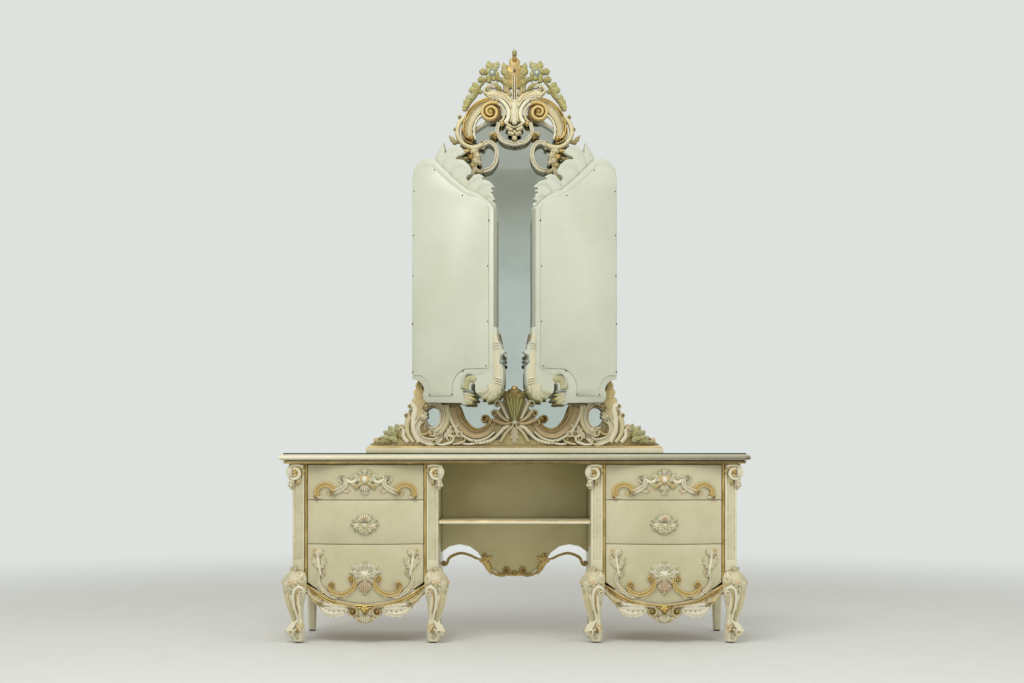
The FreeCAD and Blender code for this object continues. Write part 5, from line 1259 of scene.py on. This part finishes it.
def wing_carving(side):
    """Shallow modelling on the backs of the crown leaves, and the turned-over leaves at the corner."""
    work = Carving(wing_place(side), back=-50.0, base=-30.0, sides=(1,), step=5.0)
    for row, width in (
            ([(0.24, 0.95), (0.29, 0.99), (0.345, 1.055)], 34),
            ([(0.36, 0.955), (0.41, 1.005), (0.50, 1.04), (0.59, 1.03)], 40),
            ([(0.46, 0.925), (0.51, 0.965), (0.59, 0.975), (0.68, 0.945)], 40),
            ([(0.66, 0.885), (0.72, 0.905), (0.78, 0.918), (0.84, 0.915)], 32),
            ([(0.78, 0.86), (0.84, 0.885), (0.90, 0.888), (0.965, 0.873)], 30),
            ([(0.86, 0.825), (0.91, 0.842), (0.975, 0.825)], 26)):
        work.leaf(wing_path(*row), width, 6, chalk, chalk, cut=0.12, glaze_and_shade=0.08)
    corner = work.sharing(base=-3.0, step=4.0)
    corner.band(corner_path((0.965, 0.285), (0.985, 0.24), (0.985, 0.19), (1.0, 0.14), (0.995, 0.10),
                            (0.96, 0.072), (0.89, 0.064)), 42, 5, plump, tan, taper=(0.5, 1.0))
    for v in (0.246, 0.236, 0.225):
        corner.band(corner_path((0.955, v), (1.0, v + 0.002), (1.018, v)), 7, 9, plump, chalk)
    for v in (0.105, 0.095, 0.085):
        corner.band(corner_path((0.97, v), (1.01, v + 0.003), (1.05, v - 0.004)), 6, 11, plump, pale)
    corner.dome(*corner_path((1.047, 0.172)), 9, 5, slate_blue)
    for foot, tip, width in (
            ((0.90, 0.062), (0.755, 0.043), 22), ((0.93, 0.056), (0.80, 0.024), 26),
            ((0.97, 0.056), (0.87, 0.012), 28), ((1.00, 0.064), (0.94, 0.018), 26),
            ((1.03, 0.078), (1.00, 0.036), 22)):
        corner.leaf(corner_path(*bowed(foot, tip, up=-0.004)), width, 11, pale, sea_green, cut=0.3,
                    tip_gilt=0.15)
    corner.band(wing_path((0.655, 0.054), (0.662, 0.072), (0.68, 0.088), (0.71, 0.097), (0.745, 0.098),
                          (0.782, 0.089)), 38, 9, plump, moss, taper=(1.0, 0.7))
    corner.band(corner_path((0.60, 0.07), (0.60, 0.095), (0.64, 0.125), (0.70, 0.126)), 9, 14, plump, chalk,
                taper=(1.0, 0.6))
    corner.band(corner_path((0.59, 0.055), (0.65, 0.058), (0.715, 0.050)), 9, 12, plump, slate_blue)
    for foot, tip, width in (
            ((0.60, 0.045), (0.728, 0.040), 20), ((0.60, 0.038), (0.735, 0.020), 24),
            ((0.61, 0.028), (0.70, 0.003), 24)):
        corner.leaf(corner_path(*bowed(foot, tip, up=-0.003)), width, 10, pale, sage, cut=0.3)
    return work


def wing_boards(name, side):
    """The sawn ground of the crown and of the lower corner."""
    place = wing_place(side)
    for part, shares, low, high, ease in (
            ("crown", wing_crown_shares, -50.0, -27.0, 2.5),
            ("corner", wing_corner_shares, -34.0, -1.0, 3.0)):
        sawn_board(f"{name}_wing_{part}_board", wing_path(*shares), [], place, low, high, ease,
                   f"{name}_wing", wing_back_paint, step=3.0)


screw_places = [(109, 1943), (16, 1859), (234, 1830), (351, 1721), (13, 1674), (346, 1532), (11, 1504),
                (8, 1303), (346, 1303), (8, 1100), (339, 1120), (236, 1102), (87, 1005), (187, 1005)]


def wing_screws(side):
    work = Carving(wing_place(side), back=2.0, base=4.0, sides=(1,))
    for across, up in screw_places:
        work.dome((across, up), 3.2, 1.2, umber, dip=0.5)
    return work


# Build every carved piece
for side, sign in (("left", -1), ("right", 1)):
    centre = sign * pedestal_centre_x
    for level, maker in (("top", top_handle), ("middle", middle_handle), ("bottom", bottom_handle)):
        name = f"{side}_{level}_drawer_handle"
        maker(centre).build(name + "_carved", f"{side}_{level}_drawer", "gilt_carving", name)
    apron(centre).build(f"{side}_apron_carved", "table", "ivory_paint", f"{side}_apron")
    wing_carving(sign).build(f"{side}_wing_leaves", f"{side}_wing", "off_white_paint", f"{side}_wing_carving")
    wing_boards(side, sign)
    wing_screws(sign).build(f"{side}_wing_screws", f"{side}_wing", "aged_brass", material=screw_steel)
    sweep = () if side == "left" else (0.0,)
    for part, planes in (("outer", ()), ("inner", (-pedestal_centre_x,))):
        name = f"{side}_{part}_leg"
        front_leg(planes + sweep).build(name + "_carved", "table", "ivory_paint", name)
capitals().build("post_capitals_carved", "table", "ivory_paint", "post_capitals")
kneehole_trim().build("kneehole_trim_carved", "table", "gilt_carving", "kneehole_scroll_trim")
base_carving().build("mirror_base_leaves", "table", "ivory_paint", "mirror_base_carving")
crest().build("mirror_crest_leaves", "table", "ivory_paint", "mirror_crest")
whole_outline = base_half_outline + [(-x, z) for x, z in base_half_outline[-2:0:-1]]
base_holes = []
for sign in (-1, 1):
    base_holes.append(oval((sign * 345, 912), 32, 40))
    base_holes.append(oval((sign * 78, 828), 32, 12))
    base_holes.append(oval((sign * 190, 812), 20, 10))
# Behind the carving the ground is ochre, clouded with umber and fully darkened in its corners: painted shade
# between the carved forms
shaded_ground_paint = painted_wood("ochre ground paint with painted shade", paint(184, 170, 118), umber, grime_and_shade_share=1.0)
sawn_board("mirror_base_board", whole_outline, base_holes, on_mirror, 2.0, 17.0, 1.0, "table",
           shaded_ground_paint)

# Finishes of the plain pieces
edge_gilt, edge_glaze = (0.7172, 0.7245), (0.7255, 0.7345)      # Heights of painted lines, in metres
shelf_gilt, plinth_gilt = (0.486, 0.4895), (0.7815, 0.7875)
sheet_half_length, sheet_front_y, sheet_rear_y = 0.9215, -0.244, 0.260
edge_paint = banded_paint("table edge paint", [edge_gilt], [edge_glaze])
shelf_paint = banded_paint("shelf paint", [shelf_gilt])
plinth_paint = banded_paint("plinth paint", [plinth_gilt])
bead_gilt = banded_paint("gilt bead lines", [(0.0, 1.0)])
sheet_glass = plate_glass("plate glass", sheet_half_length, sheet_front_y, sheet_rear_y)
node_finishes = {"glass_top": sheet_glass, "table_top": ivory_panel, "top_edge_moulding": edge_paint,
                 "left_side_outer": ivory_panel, "left_side_inner": ivory_panel,
                 "right_side_inner": ivory_panel, "right_side_outer": ivory_panel, "case_backs": drawer_wood,
                 "case_floors_and_rails": drawer_wood, "drawer_runners": drawer_wood,
                 "front_posts": ivory_post, "rear_legs": ivory_post, "foot_pads": black_felt,
                 "gilt_beads": bead_gilt, "kneehole_back": kneehole_paint, "kneehole_shelf": shelf_paint,
                 "mirror_plinth": plinth_paint, "mirror_frame": mirror_frame_paint,
                 "mirror_glass": mirror_silver, "mirror_backboard": drawer_wood, "mirror_struts": drawer_wood,
                 "hinge_fixed_leaves": old_brass, }
for side in ("left", "right"):
    for level in ("top", "middle", "bottom"):
        node_finishes[f"{side}_{level}_drawer_front"] = ivory_panel
        node_finishes[f"{side}_{level}_drawer_box"] = drawer_wood
    node_finishes[f"{side}_wing_frame"] = wing_back_paint
    node_finishes[f"{side}_wing_back"] = wing_back_paint
    node_finishes[f"{side}_wing_glass"] = mirror_silver
    node_finishes[f"{side}_wing_hinge_leaves"] = old_brass
softened = {"glass_top": 0.6, "foot_pads": 0.8, "hinge_fixed_leaves": 0.2, "left_wing_hinge_leaves": 0.2,
            "right_wing_hinge_leaves": 0.2, "mirror_glass": 0.4, "left_wing_glass": 0.4,
            "right_wing_glass": 0.4}
for name, material in node_finishes.items():
    node = nodes[name]
    node.data.materials.clear()
    node.data.materials.append(material)
    weld = node.modifiers.new("join faces", "WELD")
    weld.merge_threshold = join_distance
    bevel = node.modifiers.new("eased edges", "BEVEL")
    bevel.width = softened.get(name, 1.0) * mm
    bevel.segments = 2
    bevel.limit_method = "ANGLE"
    bevel.angle_limit = math.radians(35)
    flat = material in (mirror_silver, sheet_glass)
    bevel.harden_normals = not flat
    node.data.polygons.foreach_set("use_smooth", [not flat] * len(node.data.polygons))


# Floor, background, light and camera, in metres
floor_half_width = 60.0
fade_start, fade_end = 2.2, 6.0     # Where the floor turns into the background, from the table's middle
photo_lens, photo_shift, photo_sensor = 54.4, 0.1084, 36.0
photo_eye = (-0.0107, -6.40, 0.762)


def floor():
    """A pale floor that keeps the shadow near the table and fades into the background."""
    mesh = bpy.data.meshes.new("floor")
    half = floor_half_width
    mesh.from_pydata([(-half, -half, 0), (half, -half, 0), (half, half, 0), (-half, half, 0)], [],
                     [(0, 1, 2, 3)])
    made, s, shader = finish_material("pale floor")
    place = s.spot()
    grain = s.cloud(place, 8.0, 4.0)
    s.feed(shader.inputs["Base Color"], s.blend(grain, paint(226, 229, 226), paint(218, 221, 218)))
    shader.inputs["Roughness"].default_value = 0.7
    glow = s.put("ShaderNodeEmission")
    glow.inputs["Color"].default_value = backdrop_tone
    distance = s.put("ShaderNodeVectorMath", operation="LENGTH")
    s.feed(distance.inputs[0], place)
    s.show_mix(s.spread(distance.outputs["Value"], fade_start, fade_end), shader, glow)
    mesh.materials.append(made)
    piece = link("floor", mesh)


def surroundings():
    """Even light from all round; the background shows its own tone to the eye and in the mirrors."""
    world = bpy.data.worlds.new("studio")
    bpy.context.scene.world = world
    world.use_nodes = True
    s = Shading(world.node_tree)
    light = world.node_tree.nodes["Background"]
    light.inputs["Color"].default_value = (1.0, 0.985, 0.95, 1.0)
    light.inputs["Strength"].default_value = 0.6
    seen = s.put("ShaderNodeBackground")
    facing = s.put("ShaderNodeSeparateXYZ")
    s.feed(facing.inputs[0], s.put("ShaderNodeTexCoord").outputs["Generated"])
    wall = s.blend(s.spread(facing.outputs["Z"], 0.09, 0.175), paint(204, 212, 204), paint(164, 166, 152))
    room = s.blend(s.spread(facing.outputs["Z"], 0.1785, 0.1815), wall, paint(184, 185, 174))
    room = s.blend(s.spread(facing.outputs["Z"], 0.3, 0.9), room, paint(255, 252, 242))
    passing = s.put("ShaderNodeLightPath").outputs
    s.feed(seen.inputs["Color"], s.blend(passing["Is Glossy Ray"], backdrop_tone, room))
    direct = s.calc("MAXIMUM", passing["Is Camera Ray"],
                    s.calc("MAXIMUM", passing["Is Glossy Ray"], passing["Is Transmission Ray"]))
    s.show_mix(direct, light, seen, "World Output")


def soft_lamp(name, place, aim, size, power, shown):
    lamp = bpy.data.lights.new(name, "AREA")
    lamp.shape = "RECTANGLE"
    lamp.size, lamp.size_y = size
    lamp.energy = power
    lamp.color = (1.0, 0.98, 0.94)
    holder = link(name, lamp)
    holder.location = place
    holder.rotation_euler = (Vector(aim) - Vector(place)).to_track_quat("-Z", "Y").to_euler()
    holder.visible_glossy = shown


def viewer():
    lens = bpy.data.cameras.new("camera")
    lens.lens = photo_lens
    lens.sensor_width = photo_sensor
    lens.shift_y = photo_shift
    holder = link("camera", lens)
    holder.location = photo_eye
    holder.rotation_euler = (math.radians(90), 0.0, 0.0)
    bpy.context.scene.camera = holder


floor()
surroundings()
soft_lamp("ceiling light", (-1.2, -3.2, 4.2), (0.0, 0.0, 0.9), (3.4, 2.2), 112.0, True)
soft_lamp("side light", (3.6, -3.4, 2.4), (0.0, 0.0, 0.9), (2.2, 2.2), 40.0, False)
viewer()
bpy.context.scene.view_settings.view_transform = "Standard"
